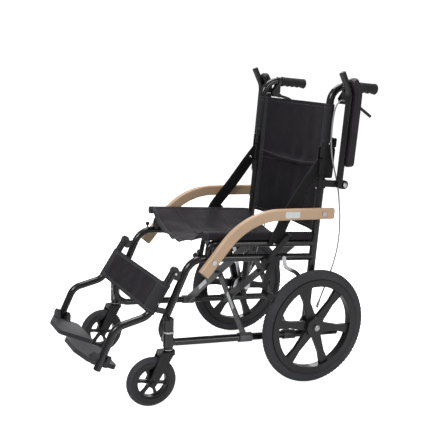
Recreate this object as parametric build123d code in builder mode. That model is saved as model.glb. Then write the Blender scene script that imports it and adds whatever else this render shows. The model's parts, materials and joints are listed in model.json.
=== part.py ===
from build123d import *
from math import cos, hypot, radians, sin
import os

# Folding transit wheelchair with 14 inch rear wheels, in millimetres.
# X runs across the chair (+X is the sitter's left), the chair faces -Y, +Z is up.
# The origin is on the floor, in the middle of the chair's outer box.
# Points named (u, v) lie in the plane of a side frame: u runs back along the rails and
# v runs up the back posts, both counted from the rear axle. That plane's axes are tilted,
# because the rails fall towards the back and the posts lean back by the same angle.
# Points named (y, z) are a distance behind the rear axle and a height above the floor.

# ---- Driving sizes ----
WHEEL_R = 178.0            # rear wheel, over the tyre
AXLE_Y = 255.0             # rear axle behind the origin
TILT = 4.0                 # lean of the frame, in degrees
HALF_TRACK = 202.0         # middle of the chair to the centre of a side frame
TUBE_R = 11.0              # rails and legs
POST_R = 11.5              # back posts
WELD_SINK = 5.0            # how far the foot of a post straddles the rail under it
CLAMP_T = 4.0              # wall of a clamp round a post
RUN_FIT = 0.05             # radial clearance of a pin or shaft that turns
SOFT_GAP = 0.3             # clearance between a soft piece and what holds it

# side frame
RAIL_V = 208.5             # main rail
SUPPORT_V = 251.5          # rail that the seat rail rests on
LOWER_V = -37.5            # lower rail
FRONT_U = -412.8           # corner of main rail and leg
TOE_U = -503.0             # corner of leg and lower rail
FRONT_BEND = 60.0
TOE_BEND = 45.0
STUB_U = -359.0            # front end of the support rail
STUB_BEND = 18.0
TIP_U = 121.0              # rear end of the tipping tube
TIP_START_U = 14.0
TIP_BORE_R = 9.5
TIP_BORE_LENGTH = 70.0

# front swivel head
HEAD_X = 229.0
HEAD_Y = -474.0
HEAD_R = 15.0
HEAD_BOTTOM = 172.0
HEAD_TOP = 252.0
HEAD_CAP = 4.0
STEM_R = 8.0
STEM_TOP = 244.0

# front wheels
CASTER_R = 73.0
CASTER_TYRE_R = 13.0       # radius of the tyre's round section
CASTER_TRAIL = 49.0
CASTER_YAW = -4.0          # how far the left wheel is turned at rest, in degrees
CASTER_HUB_HALF = 15.0
CASTER_RIM_IN = 42.0
CASTER_RIM_HALF = 10.0
CASTER_PIN_R = 4.0
CROWN_TOP = 160.0
CROWN_T = 11.0
FORK_HALF = 20.0           # outside of the fork blades from the wheel's middle
BLADE_T = 4.0

# rear wheels
WHEEL_X = 249.0
TYRE_R = 16.0              # radius of the tyre's round section
RIM_IN = 128.0
RIM_OUT = 149.0
RIM_HALF = 13.0
HUB_R = 31.0
HUB_IN_X = 234.0
HUB_OUT_X = 266.0
SPOKES = 6
SPOKE_PHASE = -10.0
AXLE_R = 6.0
AXLE_NUT_R = 9.0
AXLE_NUT_T = 5.5
DRUM_R = 36.0
DRUM_X = 225.0             # inner face of the turning drum
PLATE_R = 33.0             # brake back plate
PLATE_X = 217.0

# folding cross brace
CROSS_V = 112.5            # height of the crossing
BRACE_U = (-214.0, -60.0)  # front and rear pair of bars
BRACE_W = 25.0
BRACE_T = 5.0
BRACE_GAP = 0.6            # between two bars that cross
SLEEVE_R = 14.5
SLEEVE_LENGTH = 42.0
BRACE_BOLT_R = 5.0

# seat
SEAT_V = 273.8             # centre of the seat rails
SEAT_X = 203.0
SEAT_FRONT_U = -381.0
SEAT_REAR_U = -19.0
SLING_SAG = 50.0
SLING_T = 4.0

# beige side arcs
ARC_X = 228.0
ARC_W = 19.0
ARC_H = 34.0
ARC_CORNER = 6.0
ARC_BEND = 220.0
ARC_REAR = (62.0, 524.0)
ARC_CROWN = (-230.0, 534.0)
ARC_FRONT = (-369.0, 370.0)
ARC_BOLTS = ((25.0, 525.0), (-340.0, 406.0))

# back
HINGE_U = 20.0
HINGE_V = 513.0
HINGE_GAP = 2.0            # each post stops this far from the hinge's height
EAR_T = 3.0
HINGE_PIN_R = 4.0
KNUCKLE_R = 8.0
HANDLE_V = 732.0
HANDLE_BEND = 50.0
HANDLE_END_U = 158.0
GRIP_R = 16.0
GRIP_START_U = 64.0
GRIP_END_U = 161.0
BACK_BOTTOM_V = 286.0
BACK_SPLIT_V = 486.0
BACK_TOP_V = 677.0
BACK_SAG = 24.0
BACK_T = 5.0

# hand brake
LEVER_PIVOT = (93.0, 860.0)
LEVER_KNEE = (150.0, 846.0)
LEVER_TIP = (199.0, 814.0)
LEVER_R = 4.5
LEVER_ROOT_T = 8.0
LEVER_PIN_R = 3.0
CABLE_R = 2.5

# armrests, stored upright
ARM_X = 261.0
ARM_R = 10.0
ARM_U = 25.0
ARM_PIVOT = (38.0, 443.5)  # (u, v)
ARM_BEND_V = 712.0
ARM_TIP = (-9.0, 768.0)
ARM_PIN_R = 5.0
PAD_W = 46.0
PAD_T = 29.0
PAD_START_V = 516.0
PAD_TIP = (14.0, 764.0)

# wheel locks
LOCK_X = 222.0             # outer face of the lock's bracket
LOCK_PLATE_T = 4.5
LOCK_GAP = 0.4
LOCK_PIVOT = (-153.0, 402.0)
LOCK_TOP = (-99.0, 457.0)
LOCK_LEVER_W = 17.0
LOCK_PIN_R = 4.0
SHOE_PIVOT = (-150.0, 376.0)
SHOE_ROLLER = (-166.0, 293.0)
ROLLER_R = 11.0

# legrests
LEG_X = 205.0
LEG_TOP = (-450.0, 384.0)
LEG_KNEE = (-529.0, 260.0)
LEG_SHIN = (-624.0, 238.0)
LEG_END = (-676.0, 124.0)
LEG_BEND = 45.0
CALF_H = 96.0
CALF_T = 5.0
FOOT_PIN_R = 4.0
FOOT_PIN_UP = 36.0         # hinge pin above the tube's end
PLATE_T = 13.0
PLATE_GAP = 2.0            # between the raised plate and the tube
PLATE_INNER_X = 26.0
PLATE_FRONT = 54.0
PLATE_REAR = 60.0
LUG_T = 12.0

C = cos(radians(TILT))
S = sin(radians(TILT))


# ---- Places ----
def yz(point):
    """A (y, z) point as plane coordinates counted from the origin."""
    return (AXLE_Y + point[0], point[1])


def from_frame(point):
    """The (y, z) place of a (u, v) point."""
    u, v = point
    return (u * C + v * S, WHEEL_R - u * S + v * C)


def frame_plane(x):
    """Plane of a side frame: its own x is u and its own y is v."""
    return Plane(origin=(x, AXLE_Y, WHEEL_R), x_dir=(0, C, -S), z_dir=(1, 0, 0))


def upright_plane(x):
    """Plane across the chair at x: its own x is Y and its own y is Z."""
    return Plane(origin=(x, 0, 0), x_dir=(0, 1, 0), z_dir=(1, 0, 0))


def cross_plane(u):
    """Plane square to the rails at u: its own x is X and its own y is v."""
    y, z = from_frame((u, 0))
    return Plane(origin=(0, AXLE_Y + y, z), x_dir=(1, 0, 0), z_dir=(0, -C, S))


def level_plane(v):
    """Plane square to the posts at v: its own x is X and its own y is u."""
    y, z = from_frame((0, v))
    return Plane(origin=(0, AXLE_Y + y, z), x_dir=(1, 0, 0), z_dir=(0, S, C))


def between(a, b, share):
    """The point a share of the way from a to b."""
    return (a[0] + (b[0] - a[0]) * share, a[1] + (b[1] - a[1]) * share)


# ---- Shapes that several pieces use ----
def round_bar(plane, points, bend, radius):
    """A round bar through points of a plane, with every corner bent to one radius."""
    with BuildPart() as bar:
        with BuildLine(plane) as path:
            if len(points) > 2:
                FilletPolyline(*points, radius=bend)
            else:
                Line(*points)
        with BuildSketch(Plane(origin=path.line @ 0, z_dir=path.line % 0)):
            Circle(radius)
        sweep()
    return bar.part


def straight_pin(plane, centre, radius, start, end):
    """A round pin square to a plane, from start to end along its normal."""
    with BuildPart() as pin:
        with BuildSketch(plane.offset(start)):
            with Locations(centre):
                Circle(radius)
        extrude(amount=end - start)
    return pin.part


def round_link(plane, a, b, width, start, end):
    """A flat link with round ends at a and b, from start to end along the normal."""
    with BuildPart() as link:
        with BuildSketch(plane.offset(start)):
            SlotCenterPoint(between(a, b, 0.5), b, width)
        extrude(amount=end - start)
    return link.part


def spoked_wheel(plane, rim, rim_half, hub_r, hub_half, spoke, bore_r, groove):
    """A moulded wheel: rim is (outer, inner) radius, spoke is (root, tip, thickness)."""
    rim_out, rim_in = rim
    root, tip, thick = spoke
    groove_at, groove_r = groove
    with BuildPart() as wheel:
        with BuildSketch(plane.offset(-rim_half)):
            Circle(rim_out)
            Circle(rim_in, mode=Mode.SUBTRACT)
        extrude(amount=2 * rim_half)
        with BuildSketch(plane.offset(-thick / 2)):
            for n in range(SPOKES):
                with Locations(Rotation(0, 0, SPOKE_PHASE + n * 360 / SPOKES)):
                    with BuildLine(mode=Mode.PRIVATE) as outline:
                        Polyline(
                            (0, -root / 2),
                            (rim_in * 0.7, -tip / 2),
                            (rim_in + 2, -tip * 0.75),
                            (rim_in + 2, tip * 0.75),
                            (rim_in * 0.7, tip / 2),
                            (0, root / 2),
                            close=True,
                        )
                    add(make_face(outline.line, mode=Mode.PRIVATE))
        extrude(amount=thick)
        with BuildSketch(plane.offset(-hub_half)):
            Circle(hub_r)
        extrude(amount=2 * hub_half)
        with Locations(plane):
            Torus(groove_at, groove_r, mode=Mode.SUBTRACT)
        with BuildSketch(plane.offset(-hub_half - 1)):
            Circle(bore_r)
        extrude(amount=2 * hub_half + 2, mode=Mode.SUBTRACT)
    return wheel.part


# ---- Side frame ----
frame_side = frame_plane(HALF_TRACK)
loop_points = [(0, RAIL_V), (FRONT_U, RAIL_V), (TOE_U, LOWER_V), (TIP_START_U, LOWER_V)]
with BuildPart() as loop_bar:
    with BuildLine(frame_side) as loop_path:
        FilletPolyline(*loop_points, radius=[FRONT_BEND, TOE_BEND])
    with BuildSketch(Plane(origin=loop_path.line @ 0, z_dir=loop_path.line % 0)):
        Circle(TUBE_R)
    sweep()
post_line = [(0, LOWER_V + TUBE_R - WELD_SINK), (0, HINGE_V - HINGE_GAP)]
post_bar = round_bar(frame_side, post_line, 0, POST_R)
head_plane = Plane(origin=(HEAD_X, AXLE_Y + HEAD_Y, 0))

with BuildPart() as frame_loop:
    add(loop_bar.part)
    with BuildSketch(head_plane.offset(HEAD_BOTTOM)):
        Circle(HEAD_R)
    extrude(amount=HEAD_TOP - HEAD_BOTTOM)
    with BuildSketch(head_plane.offset(HEAD_BOTTOM + 10)):
        with Locations(((HALF_TRACK - HEAD_X) / 2, -7)):
            Rectangle(HEAD_X - HALF_TRACK, 10)
    extrude(amount=HEAD_TOP - HEAD_BOTTOM - 24)
    with BuildSketch(head_plane.offset(HEAD_TOP)):
        Circle(HEAD_R + 0.5)
    extrude(amount=HEAD_CAP, taper=20)
    with BuildSketch(head_plane.offset(HEAD_BOTTOM)):
        Circle(STEM_R + RUN_FIT)
    extrude(amount=STEM_TOP + 1 - HEAD_BOTTOM, mode=Mode.SUBTRACT)
    add(post_bar, mode=Mode.SUBTRACT)
    add(round_bar(frame_side, [(TIP_START_U, LOWER_V), (TIP_U, LOWER_V)], 0, TUBE_R))
    bore_line = [(TIP_U - TIP_BORE_LENGTH, LOWER_V), (TIP_U + 1, LOWER_V)]
    add(round_bar(frame_side, bore_line, 0, TIP_BORE_R), mode=Mode.SUBTRACT)

with BuildPart() as back_post:
    add(post_bar)
    add(loop_bar.part, mode=Mode.SUBTRACT)
    with BuildSketch(frame_side.offset(-2 * POST_R)):
        Circle(AXLE_R + RUN_FIT)
    extrude(amount=4 * POST_R, mode=Mode.SUBTRACT)

stub_points = [(0, SUPPORT_V), (STUB_U, SUPPORT_V), (STUB_U, RAIL_V)]
with BuildPart() as seat_support:
    add(round_bar(frame_side, stub_points, STUB_BEND, TUBE_R - 1))
    add(post_bar, mode=Mode.SUBTRACT)
    add(loop_bar.part, mode=Mode.SUBTRACT)

# ---- Beige side arc ----
with BuildPart() as side_arc:
    arc_points = [yz(ARC_REAR), yz(ARC_CROWN), yz(ARC_FRONT)]
    with BuildLine(upright_plane(ARC_X)) as arc_path:
        FilletPolyline(*arc_points, radius=ARC_BEND)
    with BuildSketch(Plane(origin=arc_path.line @ 0, x_dir=(1, 0, 0), z_dir=arc_path.line % 0)):
        RectangleRounded(ARC_W, ARC_H, ARC_CORNER)
    sweep()
    for bolt in ARC_BOLTS:
        with BuildSketch(upright_plane(ARC_X - ARC_W)):
            with Locations(yz(bolt)):
                Circle(3 + RUN_FIT)
        extrude(amount=2 * ARC_W, mode=Mode.SUBTRACT)

with BuildPart() as side_bolts:
    for bolt in ARC_BOLTS:
        arc_in = ARC_X - ARC_W / 2
        arc_out = ARC_X + ARC_W / 2
        add(straight_pin(upright_plane(0), yz(bolt), 8, HALF_TRACK + 6, arc_in))
        add(straight_pin(upright_plane(0), yz(bolt), 3, arc_in, arc_out))
        add(straight_pin(upright_plane(0), yz(bolt), 7, arc_out, arc_out + 3.5))
    for solid in (post_bar, loop_bar.part, seat_support.part):
        add(solid, mode=Mode.SUBTRACT)

# ---- Front wheel ----
yaw_x = (cos(radians(CASTER_YAW)), sin(radians(CASTER_YAW)), 0)
caster = Plane(origin=(HEAD_X, AXLE_Y + HEAD_Y, 0), x_dir=yaw_x, z_dir=(0, 0, 1))
caster_side = Plane(origin=caster.origin, x_dir=caster.y_dir, z_dir=caster.x_dir)
caster_axle = (-CASTER_TRAIL, CASTER_R)
with BuildPart() as caster_fork:
    with BuildSketch(caster.offset(CROWN_TOP - CROWN_T)):
        Circle(FORK_HALF)
        with Locations((0, -14)):
            RectangleRounded(2 * FORK_HALF, 32, 8)
    extrude(amount=CROWN_T)
    with BuildSketch(caster.offset(CROWN_TOP)):
        Circle(HEAD_R - 2)
    extrude(amount=HEAD_BOTTOM - CROWN_TOP - SOFT_GAP)
    with BuildSketch(caster.offset(CROWN_TOP)):
        Circle(STEM_R)
    extrude(amount=STEM_TOP - CROWN_TOP)
    for start in (-FORK_HALF, FORK_HALF - BLADE_T):
        with BuildSketch(caster_side.offset(start)):
            crown_z = CROWN_TOP - CROWN_T / 2
            Polygon((-28, crown_z), (12, crown_z), (-39, 68), (-59, 78), align=None)
            with Locations(caster_axle):
                Circle(10.5)
        extrude(amount=BLADE_T)
    with BuildSketch(caster_side.offset(-FORK_HALF - 5)):
        with Locations(caster_axle):
            Circle(CASTER_PIN_R)
    extrude(amount=2 * FORK_HALF + 10)
    for start in (-FORK_HALF - 5, FORK_HALF):
        with BuildSketch(caster_side.offset(start)):
            with Locations(caster_axle):
                RegularPolygon(7.5, 6)
        extrude(amount=5)

caster_origin = caster_side.from_local_coords((caster_axle[0], caster_axle[1], 0))
caster_mid = Plane(origin=caster_origin, x_dir=caster_side.x_dir, z_dir=caster_side.z_dir)
caster_tyre_at = CASTER_R - CASTER_TYRE_R
with BuildPart() as caster_wheel:
    add(
        spoked_wheel(
            caster_mid,
            (caster_tyre_at - 8, CASTER_RIM_IN),
            CASTER_RIM_HALF,
            14,
            CASTER_HUB_HALF,
            (12, 8, 9),
            CASTER_PIN_R + RUN_FIT,
            (caster_tyre_at, CASTER_TYRE_R + 0.1),
        )
    )
with BuildPart() as caster_tyre:
    with Locations(caster_mid):
        Torus(caster_tyre_at, CASTER_TYRE_R)

# ---- Rear wheel and drum brake ----
wheel_mid = Plane(origin=(WHEEL_X, AXLE_Y, WHEEL_R), x_dir=(0, 1, 0), z_dir=(1, 0, 0))
axle_plane = Plane(origin=(0, AXLE_Y, WHEEL_R), x_dir=(0, 1, 0), z_dir=(1, 0, 0))
tyre_at = WHEEL_R - TYRE_R
with BuildPart() as rear_wheel:
    add(
        spoked_wheel(
            wheel_mid,
            (RIM_OUT, RIM_IN),
            RIM_HALF,
            HUB_R,
            HUB_OUT_X - WHEEL_X,
            (34, 20, 12),
            AXLE_R + RUN_FIT,
            (tyre_at, TYRE_R + 0.1),
        )
    )
    with BuildSketch(axle_plane.offset(DRUM_X)):
        Circle(DRUM_R)
        Circle(AXLE_R + RUN_FIT, mode=Mode.SUBTRACT)
    extrude(amount=HUB_IN_X + 2 - DRUM_X)
with BuildPart() as rear_tyre:
    with Locations(wheel_mid):
        Torus(tyre_at, TYRE_R)

with BuildPart() as hub_brake:
    with BuildSketch(axle_plane.offset(PLATE_X)):
        Circle(PLATE_R)
    extrude(amount=DRUM_X - SOFT_GAP - PLATE_X)
    with BuildSketch(axle_plane.offset(HALF_TRACK + 6)):
        Circle(12)
    extrude(amount=PLATE_X - HALF_TRACK - 6)
    add(post_bar, mode=Mode.SUBTRACT)
    with BuildSketch(axle_plane.offset(HALF_TRACK - POST_R - 6)):
        Circle(AXLE_R)
    extrude(amount=HUB_OUT_X + 0.5 - HALF_TRACK + POST_R + 6)
    with BuildSketch(axle_plane.offset(HUB_OUT_X + 0.5)):
        Circle(AXLE_NUT_R)
    extrude(amount=AXLE_NUT_T)
    arm_points = [yz((-98, 391)), yz((-92, 366)), yz((-38, 338)), yz((-8, 206))]
    with BuildLine(upright_plane(PLATE_X + 4)) as arm_path:
        FilletPolyline(*arm_points, radius=[14, 60])
    with BuildSketch(Plane(origin=arm_path.line @ 0, x_dir=(1, 0, 0), z_dir=arm_path.line % 0)):
        Rectangle(3, 12)
    sweep()
    add(straight_pin(upright_plane(0), yz((-98, 394)), 7, HALF_TRACK + 6, PLATE_X + 3))
    add(loop_bar.part, mode=Mode.SUBTRACT)

# ---- Wheel lock ----
lock_side = upright_plane(0)
lever_in = LOCK_X + LOCK_PLATE_T + 2 * LOCK_GAP
with BuildPart() as wheel_lock:
    with BuildSketch(lock_side.offset(HALF_TRACK + 6)):
        with Locations(yz((-142, 384))):
            RectangleRounded(58, 38, 8)
    extrude(amount=LOCK_X - HALF_TRACK - 6)
    pin_end = lever_in + LOCK_PLATE_T + LOCK_GAP
    add(straight_pin(lock_side, yz(LOCK_PIVOT), LOCK_PIN_R + 3, LOCK_X, lever_in - LOCK_GAP))
    add(straight_pin(lock_side, yz(LOCK_PIVOT), LOCK_PIN_R, LOCK_X, pin_end))
    add(straight_pin(lock_side, yz(LOCK_PIVOT), LOCK_PIN_R + 2, pin_end, pin_end + 2))
    shoe_pin_end = LOCK_X + LOCK_PLATE_T + 2 * LOCK_GAP
    add(straight_pin(lock_side, yz(SHOE_PIVOT), LOCK_PIN_R, LOCK_X, shoe_pin_end))
    add(straight_pin(lock_side, yz(SHOE_PIVOT), LOCK_PIN_R + 2, shoe_pin_end, shoe_pin_end + 2))
    add(loop_bar.part, mode=Mode.SUBTRACT)
with BuildPart() as lock_lever:
    lever_out = lever_in + LOCK_PLATE_T
    add(round_link(lock_side, yz(LOCK_PIVOT), yz(LOCK_TOP), LOCK_LEVER_W, lever_in, lever_out))
    pin_hole = LOCK_PIN_R + RUN_FIT
    hole = straight_pin(lock_side, yz(LOCK_PIVOT), pin_hole, lever_in - 1, lever_out + 1)
    add(hole, mode=Mode.SUBTRACT)
with BuildPart() as lock_shoe:
    shoe_in = LOCK_X + LOCK_GAP
    shoe_out = shoe_in + LOCK_PLATE_T
    add(round_link(lock_side, yz(SHOE_PIVOT), yz(SHOE_ROLLER), 16, shoe_in, shoe_out))
    hole = straight_pin(lock_side, yz(SHOE_PIVOT), pin_hole, shoe_in - 1, shoe_out + 1)
    add(hole, mode=Mode.SUBTRACT)
    roller_end = WHEEL_X + RIM_HALF
    add(straight_pin(lock_side, yz(SHOE_ROLLER), ROLLER_R, shoe_out, roller_end))

# ---- Back hinge and release ----
ear_in = POST_R + 0.8
with BuildPart() as back_hinge:
    sleeve_line = [(0, HINGE_V - 51), (0, HINGE_V - 8)]
    add(round_bar(frame_side, sleeve_line, 0, POST_R + CLAMP_T - 0.5))
    for start in (-ear_in - EAR_T, ear_in):
        with BuildSketch(frame_side.offset(start)):
            with Locations((8, HINGE_V - 12)):
                RectangleRounded(40, 92, 6)
        extrude(amount=EAR_T)
    hinge_at = (HINGE_U, HINGE_V)
    add(straight_pin(frame_side, hinge_at, HINGE_PIN_R, -ear_in - EAR_T, ear_in + EAR_T))
    add(post_bar, mode=Mode.SUBTRACT)
with BuildPart() as back_release:
    for start in (-8, 5.2):
        cheek = round_link(frame_side, (21, 541), (29, 560), 12, start, start + 2.8)
        add(cheek)
    add(round_link(frame_side, (29.5, 553), (29.5, 571), 11, -8, 8))
    add(straight_pin(frame_side, (21, 541), 2.5, -8, 8))

# ---- Handle, grip and hand brake ----
handle_points = [(0, HINGE_V + HINGE_GAP), (0, HANDLE_V), (HANDLE_END_U, HANDLE_V)]
handle_bar = round_bar(frame_side, handle_points, HANDLE_BEND, POST_R)
brake_side = upright_plane(HALF_TRACK)
with BuildPart() as handle_tube:
    add(handle_bar)
    with BuildSketch(frame_side.offset(-4)):
        with Locations((POST_R + 3.5, HINGE_V + 17)):
            Rectangle(11, 40)
        with Locations((21, 541)):
            Circle(5.5)
        with Locations(hinge_at):
            Circle(KNUCKLE_R)
    extrude(amount=8)
    with BuildSketch(frame_side.offset(-POST_R)):
        with Locations(hinge_at):
            Circle(KNUCKLE_R)
    extrude(amount=2 * POST_R)
    add(straight_pin(frame_side, hinge_at, HINGE_PIN_R + RUN_FIT, -20, 20), mode=Mode.SUBTRACT)
    add(straight_pin(frame_side, (21, 541), 2.5 + RUN_FIT, -20, 20), mode=Mode.SUBTRACT)
    lower_end = [(0, HINGE_V - 20), (0, HINGE_V + HINGE_GAP - 0.01)]
    add(round_bar(frame_side, lower_end, 0, POST_R), mode=Mode.SUBTRACT)
    clamp_line = [(50, HANDLE_V), (62, HANDLE_V)]
    clamp = round_bar(frame_side, clamp_line, 0, POST_R + 3.5)
    add(clamp)
    for start in (-9.5, LEVER_ROOT_T / 2 + 0.5):
        with BuildSketch(brake_side.offset(start)):
            housing = [(80, 868), (88, 852), (104, 852), (110, 868), (110, 893), (97, 893)]
            Polygon(*[yz(p) for p in housing], align=None)
        extrude(amount=9.5 - LEVER_ROOT_T / 2 - 0.5)
    with BuildSketch(brake_side.offset(-9.5)):
        bridge = [(87, 876), (110, 876), (110, 893), (97, 893)]
        Polygon(*[yz(p) for p in bridge], align=None)
    extrude(amount=19)
    add(straight_pin(brake_side, yz(LEVER_PIVOT), LEVER_PIN_R, -9.5, 9.5))
with BuildPart() as hand_grip:
    grip_line = [(GRIP_START_U, HANDLE_V), (GRIP_END_U, HANDLE_V)]
    add(round_bar(frame_side, grip_line, 0, GRIP_R))
    fillet(edges().filter_by(GeomType.CIRCLE), 3)
    bore = [(GRIP_START_U - 1, HANDLE_V), (HANDLE_END_U, HANDLE_V)]
    add(round_bar(frame_side, bore, 0, POST_R + RUN_FIT), mode=Mode.SUBTRACT)
with BuildPart() as brake_lever:
    lever_points = [yz(LEVER_PIVOT), yz(LEVER_KNEE), yz(LEVER_TIP)]
    add(round_bar(brake_side, lever_points, 60, LEVER_R))
    root_half = LEVER_ROOT_T / 2
    root_end = yz(between(LEVER_PIVOT, LEVER_KNEE, 0.35))
    add(round_link(brake_side, yz(LEVER_PIVOT), root_end, 13, -root_half, root_half))
    add(straight_pin(brake_side, yz(LEVER_PIVOT), LEVER_PIN_R + RUN_FIT, -9, 9), mode=Mode.SUBTRACT)
    for start in (-9.5, root_half):
        slot_cut = straight_pin(brake_side, yz(LEVER_PIVOT), 24, start, start + 5.5)
        add(slot_cut, mode=Mode.SUBTRACT)

# ---- Armrest ----
arm_side = frame_plane(0)
pivot_yz = from_frame(ARM_PIVOT)
eye_in = ARM_X - ARM_R
eye_out = ARM_X + ARM_R
with BuildPart() as armrest_bracket:
    add(round_bar(frame_side, [(0, ARM_PIVOT[1] - 20), (0, ARM_PIVOT[1] + 6)], 0, POST_R + CLAMP_T))
    base_z = pivot_yz[1] - 12
    reach = between((HALF_TRACK + 6, 28), (eye_in - 12, pivot_yz[0]), 0.5)
    with BuildSketch(Plane(origin=(0, AXLE_Y, base_z))):
        SlotCenterPoint(reach, (eye_in - 12, pivot_yz[0]), 18)
    extrude(amount=20)
    add(straight_pin(arm_side, ARM_PIVOT, 13, eye_in - 14, eye_in - 0.5))
    add(straight_pin(arm_side, ARM_PIVOT, ARM_PIN_R, eye_in - 1, eye_out + 1))
    add(straight_pin(arm_side, ARM_PIVOT, ARM_PIN_R + 3, eye_out + 0.5, eye_out + 3.5))
    add(post_bar, mode=Mode.SUBTRACT)
arm_points = [(ARM_U, ARM_PIVOT[1]), (ARM_U, ARM_BEND_V), ARM_TIP]
arm_bar = round_bar(frame_plane(ARM_X), arm_points, 60, ARM_R)
with BuildPart() as armrest_tube:
    add(arm_bar)
    add(round_link(arm_side, (ARM_U + 2, ARM_PIVOT[1]), ARM_PIVOT, 26, eye_in, eye_out))
    hole = straight_pin(arm_side, ARM_PIVOT, ARM_PIN_R + RUN_FIT, eye_in - 1, eye_out + 1)
    add(hole, mode=Mode.SUBTRACT)
with BuildPart() as armrest_pad:
    pad_face = ARM_U + ARM_R - 3
    pad_mid = pad_face + PAD_T / 2
    pad_points = [(pad_mid, PAD_START_V), (pad_mid, ARM_BEND_V + 14), PAD_TIP]
    with BuildLine(frame_plane(ARM_X)) as pad_path:
        FilletPolyline(*pad_points, radius=70)
    pad_section = Plane(origin=pad_path.line @ 0, x_dir=(1, 0, 0), z_dir=pad_path.line % 0)
    with BuildSketch(pad_section):
        RectangleRounded(PAD_W, PAD_T, 10)
    sweep()
    add(arm_bar, mode=Mode.SUBTRACT)

# ---- Brake cable, from the hand brake to the drum ----
cable_points = [
    (214.0, 88, 863),
    (219.5, 81, 864),
    (221, 68, 862),
    (221.5, 54, 845),
    (221.5, 47, 800),
    (221, 46, 745),
    (222, 52, 695),
    (221, 66, 650),
    (222, 80, 605),
    (223, 88, 555),
    (224, 94, 500),
    (223, 95, 445),
    (223, 87, 390),
    (222, 71, 335),
    (221, 51, 285),
    (221, 33, 240),
    (221, 25, 211),
]
with BuildPart() as brake_cable:
    corners = [Vector(x, AXLE_Y + y, z) for x, y, z in cable_points]
    radii = []
    for a, b, c in zip(corners, corners[1:], corners[2:]):
        turn = (b - a).get_angle(c - b)
        shorter = min((b - a).length, (c - b).length)
        radii.append(0.45 * shorter / (sin(radians(turn / 2)) / cos(radians(turn / 2))))
    with BuildLine() as cable_path:
        FilletPolyline(*corners, radius=radii)
    with BuildSketch(Plane(origin=cable_path.line @ 0, z_dir=cable_path.line % 0)):
        Circle(CABLE_R)
    sweep()
print("cable bend radii:", [round(r) for r in radii])

# ---- Legrest and footplate ----
leg_side = upright_plane(LEG_X)
leg_points = [yz(LEG_TOP), yz(LEG_KNEE), yz(LEG_SHIN), yz(LEG_END)]
leg_bar = round_bar(leg_side, leg_points, LEG_BEND, TUBE_R)
shin = Vector(0, LEG_END[0] - LEG_SHIN[0], LEG_END[1] - LEG_SHIN[1]).normalized()
foot_pin = Vector(LEG_X, AXLE_Y + LEG_END[0], LEG_END[1]) - shin * FOOT_PIN_UP
# the footplate's own plane: x across the chair, y back along the plate, z up the shin
foot = Plane(origin=foot_pin, x_dir=(1, 0, 0), z_dir=-shin)
foot_side = Plane(origin=foot_pin, x_dir=(1, 0, 0), z_dir=-foot.y_dir)
with BuildPart() as legrest_tube:
    add(leg_bar)
    add(round_link(upright_plane(0), yz((-449, 385)), yz((-443, 369)), 24, LEG_X - 6, LEG_X + 6))
    add(round_link(upright_plane(0), yz((-446, 369)), yz((-418, 371)), 20, LEG_X - 7, LEG_X + 1))
    add(round_link(upright_plane(0), yz((-514, 280)), yz((-470, 266)), 16, LEG_X - 7, LEG_X + 1))
    add(loop_bar.part, mode=Mode.SUBTRACT)
    with BuildSketch(foot_side.offset(-20)):
        Circle(FOOT_PIN_R + RUN_FIT)
    extrude(amount=40, mode=Mode.SUBTRACT)
plate_low = -TUBE_R - PLATE_GAP - PLATE_T
plate_out = -TUBE_R - PLATE_GAP
plate_in = PLATE_INNER_X - LEG_X
with BuildPart() as footplate:
    with BuildSketch(foot.offset(plate_low)):
        with BuildLine():
            Polyline(
                (plate_in, -PLATE_FRONT),
                (plate_out - 60, -PLATE_FRONT),
                (plate_out, -PLATE_FRONT + 25),
                (plate_out, PLATE_REAR),
                (plate_in, PLATE_REAR),
                close=True,
            )
        make_face()
        fillet(vertices(), 12)
    extrude(amount=PLATE_T)
    for start in (-TUBE_R - 1 - LUG_T, TUBE_R + 1):
        with BuildSketch(foot_side.offset(start)):
            Circle(10)
            with Locations((plate_out / 2 - 11, plate_low / 2)):
                Polygon((-20, -13), (22, -11), (20, 8), (4, 20), (-20, 0), align=None)
        extrude(amount=LUG_T)
    with BuildSketch(foot_side.offset(-TUBE_R - 2)):
        Circle(FOOT_PIN_R)
    extrude(amount=2 * TUBE_R + 4)

pairs = {
    "frame_loop": frame_loop,
    "back_post": back_post,
    "seat_support": seat_support,
    "side_arc": side_arc,
    "side_bolts": side_bolts,
    "caster_fork": caster_fork,
    "caster_wheel": caster_wheel,
    "caster_tyre": caster_tyre,
    "rear_wheel": rear_wheel,
    "rear_tyre": rear_tyre,
    "hub_brake": hub_brake,
    "wheel_lock": wheel_lock,
    "lock_lever": lock_lever,
    "lock_shoe": lock_shoe,
    "back_hinge": back_hinge,
    "back_release": back_release,
    "handle_tube": handle_tube,
    "hand_grip": hand_grip,
    "brake_lever": brake_lever,
    "brake_cable": brake_cable,
    "armrest_bracket": armrest_bracket,
    "armrest_tube": armrest_tube,
    "armrest_pad": armrest_pad,
    "legrest_tube": legrest_tube,
    "footplate": footplate,
}

# ---- Lap belt ends, webbing laid flat beside the side frame ----
with BuildPart() as belt:
    with BuildSketch(frame_side.offset(-3)):
        belt_u = -POST_R - CLAMP_T - SOFT_GAP
        belt_v = SEAT_V + TUBE_R + SOFT_GAP + 0.3
        Polygon(
            (belt_u, 452),
            (belt_u, 508),
            (-157, belt_v),
            (-113, belt_v),
            align=None,
        )
    extrude(amount=3)
pairs["belt"] = belt

# ---- Seat rails ----
for side, sign in (("left", 1), ("right", -1)):
    rail_line = [(SEAT_FRONT_U, SEAT_V), (SEAT_REAR_U, SEAT_V)]
    with BuildPart() as seat_rail:
        add(round_bar(frame_plane(sign * SEAT_X), rail_line, 0, TUBE_R))
    seat_rail.part.label = f"seat_rail_{side}"
    export_step(seat_rail.part, f"parts/seat_rail_{side}.step")

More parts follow.
